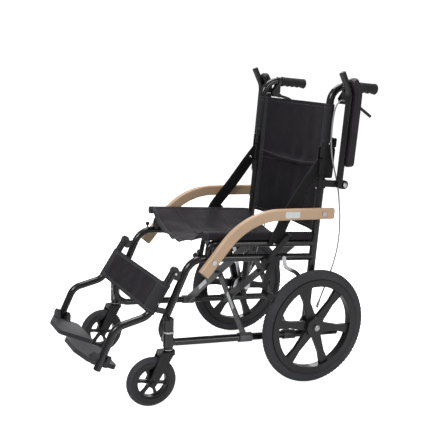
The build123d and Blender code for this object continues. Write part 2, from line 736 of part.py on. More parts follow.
# ---- Cross brace: each half pivots on one lower rail and carries the other seat rail ----
for name, sign, shift in (("brace_a", 1, -1), ("brace_b", -1, 1)):
    foot_x = -sign * HALF_TRACK
    top_x = SEAT_X - TUBE_R - BRACE_W / 2 - 0.5
    rise = (CROSS_V - LOWER_V) / HALF_TRACK
    top_v = CROSS_V + rise * top_x - 2
    neck = [(-45, -22), (-15, -8), (-6, -6), (-6, -10.6), (-19, -20), (-43, -36)]
    neck_points = [(sign * (SEAT_X + x), SEAT_V + v) for x, v in neck]
    rail = round_bar(frame_plane(sign * SEAT_X), rail_line, 0, TUBE_R)
    with BuildPart() as brace:
        for u in BRACE_U:
            middle_u = u + shift * (BRACE_T + BRACE_GAP) / 2
            plane = cross_plane(middle_u)
            bar = round_link(
                plane, (foot_x, LOWER_V), (sign * top_x, top_v), BRACE_W, -BRACE_T / 2, BRACE_T / 2
            )
            add(bar)
            with BuildSketch(plane.offset(-BRACE_T / 2)):
                Polygon(*neck_points, align=None)
            extrude(amount=BRACE_T)
            sleeve = [(middle_u - SLEEVE_LENGTH / 2, LOWER_V), (middle_u + SLEEVE_LENGTH / 2, LOWER_V)]
            add(round_bar(frame_plane(foot_x), sleeve, 0, SLEEVE_R))
            if name == "brace_a":
                add(straight_pin(plane, (0, CROSS_V), BRACE_BOLT_R, -14, 14))
            else:
                hole = straight_pin(plane, (0, CROSS_V), BRACE_BOLT_R + RUN_FIT, -9, 9)
                add(hole, mode=Mode.SUBTRACT)
        bore = [(FRONT_U, LOWER_V), (0, LOWER_V)]
        add(round_bar(frame_plane(foot_x), bore, 0, TUBE_R + RUN_FIT), mode=Mode.SUBTRACT)
        add(rail, mode=Mode.SUBTRACT)
    brace.part.label = name
    export_step(brace.part, f"parts/{name}.step")

# ---- Seat sling ----
edge_x = SEAT_X - TUBE_R - SOFT_GAP
with BuildPart() as seat_sling:
    with BuildSketch(cross_plane(SEAT_REAR_U)):
        with BuildLine():
            top = SEAT_V + SLING_T / 2
            low = SEAT_V - SLING_T / 2
            ThreePointArc((-edge_x, top), (0, top - SLING_SAG), (edge_x, top))
            Line((edge_x, top), (edge_x, low))
            ThreePointArc((edge_x, low), (0, low - SLING_SAG), (-edge_x, low))
            Line((-edge_x, low), (-edge_x, top))
        make_face()
    extrude(amount=SEAT_REAR_U - SEAT_FRONT_U)
seat_sling.part.label = "seat_sling"
export_step(seat_sling.part, "parts/seat_sling.step")

# ---- Back upholstery, in two halves that part at the fold ----
back_edge = HALF_TRACK - ear_in - EAR_T - SOFT_GAP
back_halves = (
    ("backrest_lower", BACK_BOTTOM_V, BACK_SPLIT_V - SOFT_GAP),
    ("backrest_upper", BACK_SPLIT_V + SOFT_GAP, BACK_TOP_V),
)
for name, low, high in back_halves:
    with BuildPart() as back_half:
        with BuildSketch(level_plane(low)):
            with BuildLine():
                front = -BACK_T / 2
                rear = BACK_T / 2
                ThreePointArc((-back_edge, front), (0, front + BACK_SAG), (back_edge, front))
                Line((back_edge, front), (back_edge, rear))
                ThreePointArc((back_edge, rear), (0, rear + BACK_SAG), (-back_edge, rear))
                Line((-back_edge, rear), (-back_edge, front))
            make_face()
        extrude(amount=high - low)
    back_half.part.label = name
    export_step(back_half.part, f"parts/{name}.step")

# ---- Calf pad, stretched between the legrests ----
upper_leg = Vector(0, LEG_KNEE[0] - LEG_TOP[0], LEG_KNEE[1] - LEG_TOP[1]).normalized()
pad_y, pad_z = between(LEG_TOP, LEG_KNEE, 0.6)
pad_normal = Vector(0, upper_leg.Z, -upper_leg.Y)
with BuildPart() as calf_pad:
    pad_plane = Plane(origin=(0, AXLE_Y + pad_y, pad_z), x_dir=(1, 0, 0), z_dir=pad_normal)
    with BuildSketch(pad_plane.offset(-CALF_T / 2)):
        Rectangle(2 * (LEG_X - TUBE_R - SOFT_GAP), CALF_H)
    extrude(amount=CALF_T)
calf_pad.part.label = "calf_pad"
export_step(calf_pad.part, "parts/calf_pad.step")

# ---- Left and right pieces ----
for name, piece in pairs.items():
    piece.part.label = f"{name}_left"
    export_step(piece.part, f"parts/{name}_left.step")
    with BuildPart() as mirrored:
        mirror(piece.part, about=Plane.YZ)
    mirrored.part.label = f"{name}_right"
    export_step(mirrored.part, f"parts/{name}_right.step")
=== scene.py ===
"""Dresses the folding transit wheelchair: paint, rubber, webbing, upholstery, light and camera."""

import json
import logging
import math
from dataclasses import dataclass
from enum import Enum
from typing import Callable, Sequence

import bmesh
import bpy
import numpy as np
from mathutils import Matrix, Vector
from mathutils.bvhtree import BVHTree

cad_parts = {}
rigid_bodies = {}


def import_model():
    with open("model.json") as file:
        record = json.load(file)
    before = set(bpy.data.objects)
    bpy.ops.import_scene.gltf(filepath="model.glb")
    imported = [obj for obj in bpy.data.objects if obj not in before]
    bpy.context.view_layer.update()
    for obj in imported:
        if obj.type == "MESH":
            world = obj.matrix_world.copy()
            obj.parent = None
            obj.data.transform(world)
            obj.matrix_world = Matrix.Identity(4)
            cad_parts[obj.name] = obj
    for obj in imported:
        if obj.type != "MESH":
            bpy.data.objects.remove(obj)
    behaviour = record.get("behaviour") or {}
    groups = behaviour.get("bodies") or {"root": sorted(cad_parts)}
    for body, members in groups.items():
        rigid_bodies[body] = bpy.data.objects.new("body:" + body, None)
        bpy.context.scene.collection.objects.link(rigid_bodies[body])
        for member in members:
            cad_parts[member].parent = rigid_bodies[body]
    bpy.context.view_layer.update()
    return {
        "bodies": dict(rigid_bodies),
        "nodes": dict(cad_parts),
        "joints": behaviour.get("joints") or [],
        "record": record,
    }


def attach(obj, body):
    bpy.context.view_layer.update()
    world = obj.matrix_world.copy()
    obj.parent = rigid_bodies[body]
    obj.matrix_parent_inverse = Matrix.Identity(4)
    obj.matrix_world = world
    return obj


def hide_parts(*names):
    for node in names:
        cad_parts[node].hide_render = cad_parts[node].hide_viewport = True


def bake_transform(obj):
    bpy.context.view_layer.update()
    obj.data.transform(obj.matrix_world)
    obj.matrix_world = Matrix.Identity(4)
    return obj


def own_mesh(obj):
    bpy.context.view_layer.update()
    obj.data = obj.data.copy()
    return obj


LOG = logging.getLogger("wheelchair")

Pair = tuple[float, float]
Colour = tuple[float, float, float]
Triple = Sequence[float]
Piece = bpy.types.Object
Socket = bpy.types.NodeSocket
Maker = Callable[["Graph", dict], dict]

MM = 0.001
AXLE_Y = 255.0
WHEEL_R = 178.0
TILT = math.radians(4.0)
HALF_TRACK = 202.0
ARMREST_X = 261.0


class Side(Enum):
    """A side of the chair: its value is the sign of x."""

    LEFT = 1
    RIGHT = -1

    @property
    def tag(self) -> str:
        """The word that node and body names end in."""
        return self.name.lower()


class Along(Enum):
    """The way that a streaked finish runs: its value is the grain's scale in x, y and z."""

    X = (40.0, 1.0, 1.0)
    Y = (1.0, 0.03, 1.0)
    NONE = (1.0, 1.0, 1.0)


# ---- Places and curves ----
def frame_place(x: np.ndarray, u: np.ndarray, v: np.ndarray) -> np.ndarray:
    """Turns side-frame coordinates into places: y = axle + u cos t + v sin t, z = axle - u sin t + v cos t.

    Args:
        x: distance across the chair.
        u: distance back along the rails from the axle.
        v: distance up the back posts from the axle.

    Returns:
        The places, with x, y and z in the last dimension, in millimetres.
    """
    x, u, v = np.broadcast_arrays(x, u, v)
    y = AXLE_Y + u * math.cos(TILT) + v * math.sin(TILT)
    z = WHEEL_R - u * math.sin(TILT) + v * math.cos(TILT)
    return np.stack([x, y, z], axis=-1)


def smooth_step(value: np.ndarray, low: float, high: float) -> np.ndarray:
    """Rises from 0 at low to 1 at high as 3t^2 - 2t^3.

    Args:
        value: where to read the step.
        low: where it starts.
        high: where it ends.

    Returns:
        The step's height, from 0 to 1.
    """
    t = np.clip((value - low) / (high - low), 0.0, 1.0)
    return t * t * (3.0 - 2.0 * t)


def bell(value: np.ndarray, middle: float, width: float) -> np.ndarray:
    """A bell curve, exp(-((value - middle) / width)^2)."""
    return np.exp(-(((value - middle) / width) ** 2))


def dome(t: np.ndarray) -> np.ndarray:
    """Rises from 0 at t = 0 to 1 at t = 1 as a quarter circle, and stays there."""
    return np.sqrt(1.0 - (1.0 - np.clip(t, 0.0, 1.0)) ** 2)


def creases(a: np.ndarray, b: np.ndarray, seed: int, longest: float) -> np.ndarray:
    """Sums sine waves of falling height in random directions, for cloth that isn't quite taut.

    Args:
        a: distance along the cloth, in millimetres.
        b: distance across it.
        seed: picks the waves.
        longest: length of the longest wave.

    Returns:
        Heights of about -1 to 1, one for each point.
    """
    pick = np.random.default_rng(seed)
    count = 14
    a, b = np.broadcast_arrays(a, b)
    length = longest * pick.uniform(0.22, 1.0, count)
    angle = pick.uniform(0.0, math.tau, count)
    phase = pick.uniform(0.0, math.tau, count)
    wave = a[..., None] * np.cos(angle) / length + b[..., None] * np.sin(angle) / length
    height = length / longest
    return (np.sin(math.tau * wave + phase) * height).sum(axis=-1) / height.sum() * 2.2


def mirrored(half: np.ndarray, sign: int = 1) -> np.ndarray:
    """One row: half of a section, then the same from the middle out; sign -1 turns that over."""
    return np.concatenate([half, sign * half[-2::-1]])[None]


def nearest(*gaps: np.ndarray) -> np.ndarray:
    """Distance of each point from the nearest of some lines, from its signed distance to each."""
    return np.minimum.reduce([np.abs(gap) for gap in np.broadcast_arrays(*gaps)])


def run_length(line: np.ndarray) -> float:
    """Length in metres of a line of points in millimetres."""
    return float(np.linalg.norm(np.diff(line, axis=0), axis=-1).sum()) * MM


def unit(rows: np.ndarray) -> np.ndarray:
    """Makes each row one long."""
    return rows / np.linalg.norm(rows, axis=-1, keepdims=True)


def round_about(axis: Triple, angle: np.ndarray) -> tuple[np.ndarray, np.ndarray]:
    """The axis's direction, and the directions across it at each angle."""
    up = Vector(axis).normalized()
    side = up.orthogonal().normalized()
    ring = np.cos(angle)[..., None] * np.array(side) + np.sin(angle)[..., None] * np.array(up.cross(side))
    return np.array(up), ring


def spline_points(route: np.ndarray, count: int) -> np.ndarray:
    """Reads a quadratic B-spline that blends three points at a time by (1-t)^2/2, 1/2+t(1-t) and t^2/2.

    Args:
        route: control points.
        count: how many points to read.

    Returns:
        Points along the spline, ends included.
    """
    first, last = 2 * route[:1] - route[1:2], 2 * route[-1:] - route[-2:-1]
    full = np.concatenate([first, route, last])
    place = np.linspace(1.0, len(route), count)
    span = np.clip(place.astype(int), 1, len(full) - 2)
    t = (place - span)[:, None]
    before, here, after = full[span - 1], full[span], full[span + 1]
    return 0.5 * (1 - t) ** 2 * before + (0.5 + t * (1 - t)) * here + 0.5 * t**2 * after


def soft_square(width: float, depth: float, power: float, steps: int) -> np.ndarray:
    """A superellipse: |x / a|^p + |y / b|^p = 1, read at even angles.

    Args:
        width: full size in x.
        depth: full size in y.
        power: 2 for an ellipse, more for squarer.
        steps: how many points.

    Returns:
        The section's points.
    """
    angle = np.linspace(0.0, math.tau, steps, endpoint=False)
    turn = np.stack([np.cos(angle), np.sin(angle)], axis=-1)
    return np.sign(turn) * np.abs(turn) ** (2.0 / power) * np.array([width, depth]) / 2


# ---- Meshes ----
@dataclass
class Surface:
    """A grid of points that becomes a mesh.

    Attributes:
        name: the piece's name.
        points: rows and columns of places, in millimetres.
        round_rows: the last row joins the first.
        round_cols: the last column joins the first.
        seam: distance of each point from the nearest row of stitches, in millimetres.
        band: how far each point belongs to the lighter binding, from 0 to 1.
    """

    name: str
    points: np.ndarray
    round_rows: bool = False
    round_cols: bool = True
    seam: np.ndarray | None = None
    band: np.ndarray | None = None

    def quads(self) -> np.ndarray:
        """Numbers the corners of each square of the grid."""
        rows, cols = self.points.shape[:2]
        r = np.arange(rows if self.round_rows else rows - 1)
        c = np.arange(cols if self.round_cols else cols - 1)
        r0, c0 = np.meshgrid(r, c, indexing="ij")
        r1, c1 = (r0 + 1) % rows, (c0 + 1) % cols
        corners = [r0 * cols + c0, r0 * cols + c1, r1 * cols + c1, r1 * cols + c0]
        return np.stack(corners, axis=-1).reshape(-1, 4)

    def cloth_map(self) -> np.ndarray:
        """Lengths along the rows and the columns, added up from the gaps between points, in metres."""
        across = np.linalg.norm(np.diff(self.points, axis=1), axis=-1).cumsum(axis=1)
        along = np.linalg.norm(np.diff(self.points, axis=0), axis=-1).cumsum(axis=0)
        u = np.pad(across, ((0, 0), (1, 0)))
        u = u - u[:, u.shape[1] // 2, None]
        v = np.pad(along, ((1, 0), (0, 0)))
        return np.stack([u, v], axis=-1) * MM

    def area(self) -> float:
        """Adds up the grid's squares, each the cross product of its diagonals halved, in square metres."""
        p = self.points * MM
        first, second = p[1:, 1:] - p[:-1, :-1], p[1:, :-1] - p[:-1, 1:]
        return float(np.linalg.norm(np.cross(first, second), axis=-1).sum() / 2)

    def build(self, finish: "Finish") -> Piece:
        """Makes the object, with its cloth map, its seam and band values, and its finish."""
        mesh = bpy.data.meshes.new(self.name)
        mesh.from_pydata((self.points.reshape(-1, 3) * MM).tolist(), [], self.quads().tolist())
        corner = np.empty(len(mesh.loops), dtype=np.int32)
        mesh.loops.foreach_get("vertex_index", corner)
        lay = self.cloth_map().reshape(-1, 2)[corner]
        mesh.uv_layers.new(name="cloth").data.foreach_set("uv", lay.astype(np.float32).ravel())
        plain = np.zeros(len(mesh.vertices))
        marks = {
            "seam": plain + 1.0 if self.seam is None else self.seam * MM,
            "band": plain if self.band is None else self.band,
        }
        for label, values in marks.items():
            layer = mesh.attributes.new(label, "FLOAT", "POINT")
            layer.data.foreach_set("value", values.astype(np.float32).ravel())
        mesh.polygons.foreach_set("use_smooth", np.ones(len(mesh.polygons), dtype=bool))
        mesh.materials.append(finish.material())
        piece = bpy.data.objects.new(self.name, mesh)
        bpy.context.scene.collection.objects.link(piece)
        return piece

    def sheet(self, finish: "Finish", thickness: float) -> Piece:
        """Makes the object as cloth, with its thickness in millimetres half on each side."""
        piece = self.build(finish)
        wall = piece.modifiers.new("thickness", "SOLIDIFY")
        wall.thickness = thickness * MM
        wall.offset = 0.0
        return piece

    def solid(self, finish: "Finish") -> Piece:
        """Makes the object as a closed shell: doubled points are merged and the faces turn outwards."""
        piece = self.build(finish)
        shell = bmesh.new()
        shell.from_mesh(piece.data)
        bmesh.ops.remove_doubles(shell, verts=shell.verts, dist=1e-6)
        bmesh.ops.dissolve_degenerate(shell, edges=shell.edges, dist=1e-7)
        bmesh.ops.recalc_face_normals(shell, faces=shell.faces)
        shell.to_mesh(piece.data)
        shell.free()
        return piece

    def fit(self, finish: "Finish", body: str, *nodes: str) -> Piece:
        """Makes a closed shell that rides on a body and stands for some nodes."""
        return finished(self.solid(finish), finish, body, *nodes)


def stacked(name: str, base: Triple, up: Triple, ring: np.ndarray, rows: Sequence[Pair]) -> Surface:
    """Stacks scaled copies of a ring: place = base + up * height + ring * size.

    Args:
        name: the piece's name.
        base: where height is 0, in millimetres.
        up: direction of height.
        ring: the ring's points, from its middle.
        rows: height and size of each copy; size 0 closes an end.

    Returns:
        A surface that is round in its columns.
    """
    height, size = np.array(rows, dtype=float).T[..., None, None]
    return Surface(name, np.array(base) + height * np.array(up) + size * ring[None])


def turned(
    name: str, profile: Sequence[Pair], centre: Triple, axis: Triple, steps: int = 30
) -> Surface:
    """Turns a profile round an axis.

    Args:
        name: the piece's name.
        profile: (height, radius) pairs, in millimetres; radius 0 closes an end.
        centre: where height is 0.
        axis: direction of height.
        steps: points round the axis.

    Returns:
        A surface that is round in its columns.
    """
    up, ring = round_about(axis, np.linspace(0.0, math.tau, steps, endpoint=False))
    return stacked(name, centre, up, ring, profile)


def carried(name: str, line: np.ndarray, section: np.ndarray, level: Triple) -> Surface:
    """Carries a closed section along a line: place = line + side * section x + up * section y.

    A last row at each end, drawn in to the middle, closes the shell.

    Args:
        name: the piece's name.
        line: points along the middle, in millimetres.
        section: one section for all points, or one for each.
        level: a direction that the section's x stays across.

    Returns:
        A surface that is round in its columns.
    """
    run = unit(np.gradient(line, axis=0))
    up = unit(np.cross(np.array(level, dtype=float), run))
    side = np.cross(run, up)
    section = np.broadcast_to(section, (len(line),) + section.shape[-2:])
    points = line[:, None] + section[..., :1] * side[:, None] + section[..., 1:] * up[:, None]
    ends = np.broadcast_to(points.mean(axis=1, keepdims=True), points.shape)
    return Surface(name, np.concatenate([ends[:1], points, ends[-1:]]))


# ---- Shader graphs ----
class Graph:
    """Adds nodes to a tree and joins them."""

    def __init__(self, tree: bpy.types.NodeTree) -> None:
        """Keeps the tree that nodes are added to."""
        self.tree = tree

    def add(self, kind: str, inputs: dict | None = None, **settings: object) -> bpy.types.Node:
        """Adds a node.

        Args:
            kind: Blender's name of the node type.
            inputs: socket name or number to a value, or to the socket that feeds it.
            settings: the node's own properties.

        Returns:
            The node.
        """
        node = self.tree.nodes.new(kind)
        for key, value in settings.items():
            setattr(node, key, value)
        for key, value in (inputs or {}).items():
            if isinstance(value, Socket):
                self.tree.links.new(value, node.inputs[key])
            else:
                node.inputs[key].default_value = value
        return node

    def math(self, operation: str, *values: object, clamp: bool = False) -> Socket:
        """Gives the result of a Math node.

        Args:
            operation: such as "MULTIPLY".
            values: numbers or sockets, in order.
            clamp: keeps the result from 0 to 1.

        Returns:
            The node's output socket.
        """
        node = self.add("ShaderNodeMath", dict(enumerate(values)), operation=operation, use_clamp=clamp)
        return node.outputs[0]

    def noise(self, place: Socket, scale: object, detail: float, rough: float = 0.5) -> Socket:
        """Gives the strength of a noise texture."""
        inputs = {"Vector": place, "Scale": scale, "Detail": detail, "Roughness": rough}
        return self.add("ShaderNodeTexNoise", inputs).outputs["Fac"]

    def span(self, value: Socket, low: float, high: float) -> Socket:
        """Stretches the values from low to high over 0 to 1."""
        return self.add("ShaderNodeMapRange", {"Value": value, "From Min": low, "From Max": high}).outputs[0]

    def mix(self, mask: Socket, off: object, on: object) -> Socket:
        """Gives one colour where the mask is 0 and another where it is 1."""
        return self.add("ShaderNodeMix", {0: mask, 6: off, 7: on}, data_type="RGBA").outputs[2]

    def bump(self, height: Socket, distance: float, strength: float, **under: object) -> Socket:
        """Gives the normal of a relief whose height is in metres."""
        inputs = {"Height": height, "Distance": distance, "Strength": strength, **under}
        return self.add("ShaderNodeBump", inputs).outputs[0]

    def effect(self, effect: "Effect", **inputs: object) -> bpy.types.bpy_prop_collection:
        """Places an effect's group and gives its outputs."""
        return self.add("ShaderNodeGroup", inputs, node_tree=effect.tree()).outputs

    def glow(self, seen: float, cast: float, strength: Socket) -> None:
        """Feeds a strength that is greater to the camera, by seen, than the light it casts."""
        ray = self.add("ShaderNodeLightPath").outputs["Is Camera Ray"]
        self.tree.links.new(self.math("MULTIPLY_ADD", ray, seen, cast), strength)


def grain(graph: Graph, ins: dict) -> dict:
    """Two sizes of noise: a broad one for colour and a fine one for the surface's height."""
    fine = graph.noise(ins["Place"], ins["Grain"], 3.0)
    return {"Height": fine, "Mottle": graph.span(graph.noise(ins["Place"], ins["Cloud"], 4.0), 0.3, 0.7)}


def wear(graph: Graph, ins: dict) -> dict:
    """Faint dust and rubbed patches: noise above a threshold, more of it on faces that look up."""
    patch = graph.span(graph.noise(ins["Place"], 38.0, 8.0, 0.72), 0.52, 0.75)
    facing = graph.add("ShaderNodeSeparateXYZ", {0: graph.add("ShaderNodeNewGeometry").outputs["Normal"]})
    upward = graph.math("MULTIPLY_ADD", facing.outputs["Z"], 0.5, 0.6, clamp=True)
    worn = graph.math("MULTIPLY", patch, upward)
    return {"Mask": graph.math("MULTIPLY", worn, ins["Amount"], clamp=True)}


def weave(graph: Graph, ins: dict) -> dict:
    """Crossing threads: the product of a sine in each map direction, with a little noise for slubs."""
    part = graph.add("ShaderNodeSeparateXYZ", {0: ins["Map"]}).outputs
    pitch = graph.math("MULTIPLY", ins["Threads"], math.pi)
    across, along = (graph.math("SINE", graph.math("MULTIPLY", part[axis], pitch)) for axis in "XY")
    over = graph.math("MULTIPLY_ADD", graph.math("MULTIPLY", across, along), 0.5, 0.5)
    return {"Height": graph.math("MULTIPLY_ADD", graph.noise(ins["Map"], 700.0, 2.0), 0.5, over)}


def stitch(graph: Graph, ins: dict) -> dict:
    """Thread dashes on a seam: the line is where the distance is small, the dashes a sine along it."""
    pitch, half_width, reach = 0.0042, 0.0009, 0.004
    part = graph.add("ShaderNodeSeparateXYZ", {0: ins["Map"]}).outputs
    run = graph.math("MULTIPLY", graph.math("ADD", part["X"], part["Y"]), math.tau / pitch)
    dash = graph.math("GREATER_THAN", graph.math("SINE", run), -0.35)
    line = graph.math("LESS_THAN", ins["Distance"], half_width)
    return {"Thread": graph.math("MULTIPLY", dash, line), "Pucker": graph.span(ins["Distance"], 0.0, reach)}


class Effect(Enum):
    """The effects that more than one finish uses, each with its group's name, inputs and maker.

    An input without a starting value is a vector; the others are numbers.
    """

    GRAIN = ("fine grain", {"Place": None, "Grain": 900.0, "Cloud": 9.0}, grain)
    WEAR = ("handling marks", {"Place": None, "Amount": 0.3}, wear)
    WEAVE = ("woven threads", {"Map": None, "Threads": 1100.0}, weave)
    STITCH = ("rows of stitches", {"Map": None, "Distance": 1.0}, stitch)

    def tree(self) -> bpy.types.NodeTree:
        """The effect's group, made when it is first asked for."""
        label, inputs, maker = self.value
        return bpy.data.node_groups.get(label) or new_group(label, inputs, maker)


def new_group(name: str, inputs: dict[str, float | None], maker: Maker) -> bpy.types.NodeTree:
    """Makes a shader group with named sockets.

    Args:
        name: the group's name.
        inputs: socket name to its starting value, or None for a vector.
        maker: adds the nodes and gives each output's name and the socket that feeds it.

    Returns:
        The group.
    """
    tree = bpy.data.node_groups.new(name, "ShaderNodeTree")
    for label, value in inputs.items():
        kind = "NodeSocketVector" if value is None else "NodeSocketFloat"
        socket = tree.interface.new_socket(label, in_out="INPUT", socket_type=kind)
        if value is not None:
            socket.default_value = value
    graph = Graph(tree)
    results = maker(graph, graph.add("NodeGroupInput").outputs)
    for label in results:
        tree.interface.new_socket(label, in_out="OUTPUT", socket_type="NodeSocketFloat")
    graph.add("NodeGroupOutput", results)
    return tree


# ---- Finishes ----
def tinted(colour: Colour, factor: float = 1.0) -> tuple[float, float, float, float]:
    """The colour made lighter or darker by a factor, with alpha."""
    return (*(min(1.0, part * factor) for part in colour), 1.0)


@dataclass(frozen=True)
class Finish:
    """A hard or rubbery finish, painted or moulded.

    Attributes:
        name: what a maker calls it.
        slot: the record's material slot; not used.
        colour: its main colour.
        rough: its roughness, and how much that varies.
        metal: 1 for bare metal.
        coat: weight of the clear gloss on top.
        grain: grains in a metre.
        depth: height of the grain, in millimetres.
        worn: how much dust and rubbing shows.
        wear_colour: the colour of that dust.
        streak: the way that the grain runs.
        mottle: how much the colour clouds.
        shine: strength of the reflection.
    """

    name: str
    slot: str
    colour: Colour
    rough: Pair = (0.35, 0.1)
    metal: float = 0.0
    coat: float = 0.0
    grain: float = 900.0
    depth: float = 0.05
    worn: float = 0.3
    wear_colour: Colour = (0.22, 0.21, 0.2)
    streak: Along = Along.NONE
    mottle: float = 0.25
    shine: float = 0.5

    def material(self) -> bpy.types.Material:
        """The finish's material, made when it is first asked for."""
        return bpy.data.materials.get(self.name) or self.make()

    def make(self) -> bpy.types.Material:
        """Builds the material: a Principled shader with fixed values and what `looks` feeds it."""
        made = bpy.data.materials.new(self.name)
        made.use_nodes = True
        made.node_tree.nodes.clear()
        made.diffuse_color = tinted(self.colour)
        graph = Graph(made.node_tree)
        place = graph.add("ShaderNodeTexCoord").outputs["Object"]
        dust = graph.effect(Effect.WEAR, Place=place, Amount=self.worn)["Mask"]
        fixed = {"Metallic": self.metal, "Coat Weight": self.coat, "Coat Roughness": 0.08}
        fixed["Specular IOR Level"] = self.shine
        shader = graph.add("ShaderNodeBsdfPrincipled", fixed | self.looks(graph, place, dust))
        graph.add("ShaderNodeOutputMaterial", {"Surface": shader.outputs[0]})
        return made

    def looks(self, graph: Graph, place: Socket, dust: Socket) -> dict:
        """Clouded colour, dust, varied roughness and a fine grain.

        Args:
            graph: the material's graph.
            place: the point on the object.
            dust: the mask of the dust.

        Returns:
            Name of each of the shader's sockets and what feeds it.
        """
        turn = graph.add("ShaderNodeMapping", {"Vector": place, "Scale": self.streak.value}).outputs[0]
        noise = graph.effect(Effect.GRAIN, Place=turn, Grain=self.grain, Cloud=9.0)
        low, high = (tinted(self.colour, 1.0 + sign * self.mottle) for sign in (-1, 1))
        rough = graph.math("MULTIPLY_ADD", noise["Mottle"], self.rough[1], self.rough[0])
        return {
            "Base Color": graph.mix(dust, graph.mix(noise["Mottle"], low, high), tinted(self.wear_colour)),
            "Roughness": graph.math("MULTIPLY_ADD", dust, 0.5, rough),
            "Normal": graph.bump(noise["Height"], self.depth * MM, 0.9),
        }


@dataclass(frozen=True)
class Cloth(Finish):
    """Woven cloth with stitched seams and a lighter binding.

    Attributes:
        threads: threads in a metre.
        binding: colour of the binding.
        thread: colour of the stitches.
        fade: the colour that the cloth fades to in patches.
    """

    threads: float = 1300.0
    binding: Colour = (0.055, 0.057, 0.06)
    thread: Colour = (0.09, 0.09, 0.095)
    fade: Colour = (0.03, 0.022, 0.032)

    def looks(self, graph: Graph, place: Socket, dust: Socket) -> dict:
        """Weave and puckered seams for height, and fading, binding, dust and thread for colour.

        Args:
            graph: the material's graph.
            place: the point on the object.
            dust: the mask of the dust.

        Returns:
            Name of each of the shader's sockets and what feeds it.
        """
        lay = graph.add("ShaderNodeUVMap", uv_map="cloth").outputs[0]
        marks = (graph.add("ShaderNodeAttribute", attribute_name=label) for label in ("seam", "band"))
        seam, band = (mark.outputs["Fac"] for mark in marks)
        cloth = graph.effect(Effect.WEAVE, Map=lay, Threads=self.threads)["Height"]
        sewn = graph.effect(Effect.STITCH, Map=lay, Distance=seam)
        cloud = graph.effect(Effect.GRAIN, Place=place, Grain=self.grain)["Mottle"]
        colour = tinted(self.colour)
        overs = (self.fade, self.binding, self.wear_colour, self.thread)
        for mask, over in zip((cloud, band, dust, sewn["Thread"]), overs):
            colour = graph.mix(mask, colour, tinted(over))
        threads = graph.bump(cloth, self.depth * MM, 0.8)
        return {
            "Base Color": colour,
            "Roughness": graph.math("MULTIPLY_ADD", cloth, -self.rough[1], self.rough[0] + self.rough[1]),
            "Normal": graph.bump(sewn["Pucker"], 0.0012, 0.9, Normal=threads),
            "Sheen Weight": 0.04,
            "Sheen Roughness": 0.45,
        }


SOOT = (0.1, 0.1, 0.1)
FRAME_BLACK = Finish(
    "black powder coat", "frame_black", (0.006, 0.006, 0.007), (0.22, 0.1),
    coat=0.5, grain=700, depth=0.03, worn=0.07, wear_colour=SOOT, shine=0.4,
)
BRACE_GREY = Finish(
    "grey brace paint", "brace_grey", (0.105, 0.105, 0.11), (0.34, 0.12), metal=0.35, depth=0.03, worn=0.2
)
ARC_BEIGE = Finish(
    "beige arc coating", "arc_beige", (0.56, 0.385, 0.25), (0.4, 0.1), coat=0.12, grain=420, depth=0.04,
    worn=0.1, wear_colour=(0.36, 0.24, 0.15), streak=Along.Y, mottle=0.1,
)
ZINC = Finish(
    "zinc plate", "steel", (0.62, 0.62, 0.64), (0.22, 0.15),
    metal=1.0, grain=1500, depth=0.02, worn=0.2, streak=Along.X,
)
BLACK_MOULDING = Finish(
    "black moulding", "plastic_black", (0.008, 0.008, 0.009), (0.36, 0.12),
    grain=1400, worn=0.1, wear_colour=SOOT, shine=0.4,
)
WHEEL_BLACK = Finish(
    "wheel moulding", "plastic_black", (0.009, 0.009, 0.01), (0.3, 0.12),
    coat=0.12, grain=1100, depth=0.04, worn=0.12, wear_colour=SOOT, shine=0.4,
)
PLATE_GREY = Finish(
    "footplate moulding", "plastic_grey", (0.03, 0.03, 0.034), (0.45, 0.12),
    grain=1600, depth=0.09, worn=0.25, wear_colour=(0.12, 0.12, 0.12), shine=0.4,
)
CABLE_GREY = Finish("cable casing", "plastic_grey", (0.33, 0.33, 0.34), grain=1200, depth=0.02, worn=0.15)
TYRE_GREY = Finish(
    "tyre rubber", "tyre", (0.04, 0.041, 0.045), (0.62, 0.12),
    grain=1900, depth=0.12, wear_colour=(0.11, 0.11, 0.11), shine=0.3,
)
GRIP_BLACK = Finish(
    "grip rubber", "grip", (0.01, 0.01, 0.011), (0.55, 0.12), grain=1700, depth=0.1, worn=0.12, shine=0.35
)
LABEL_WHITE = Finish(
    "blank label film", "plastic_grey", (0.72, 0.76, 0.75), (0.32, 0.08),
    grain=1200, depth=0.01, worn=0.15, mottle=0.04,
)
UPHOLSTERY = Cloth(
    "nylon upholstery", "fabric", (0.007, 0.007, 0.0105), (0.62, 0.16), grain=5.0, depth=0.16,
    worn=0.03, shine=0.22, fade=(0.015, 0.01, 0.0155), binding=(0.028, 0.029, 0.032),
)
WEBBING = Cloth(
    "belt webbing", "webbing", (0.008, 0.008, 0.009), (0.6, 0.2),
    depth=0.35, threads=520.0, worn=0.03, shine=0.2, fade=(0.011, 0.011, 0.012),
)
PAD_VINYL = Finish(
    "pad vinyl", "pad_vinyl", (0.014, 0.011, 0.014), (0.4, 0.12),
    grain=1000, depth=0.12, worn=0.08, wear_colour=(0.06, 0.05, 0.055), shine=0.35,
)
FLOOR = Finish(
    "studio floor", "", (0.86, 0.86, 0.86), (0.6, 0.1), grain=300, depth=0.02, worn=0.0, mottle=0.01
)

DRESS = {
    FRAME_BLACK: "frame_loop back_post seat_support seat_rail handle_tube armrest_tube legrest_tube",
    BRACE_GREY: "brace",
    ARC_BEIGE: "side_arc",
    ZINC: "side_bolts hub_brake",
    WHEEL_BLACK: "caster_wheel rear_wheel",
    PLATE_GREY: "footplate",
    BLACK_MOULDING: (
        "caster_fork wheel_lock lock_lever lock_shoe back_hinge back_release brake_lever armrest_bracket"
    ),
}


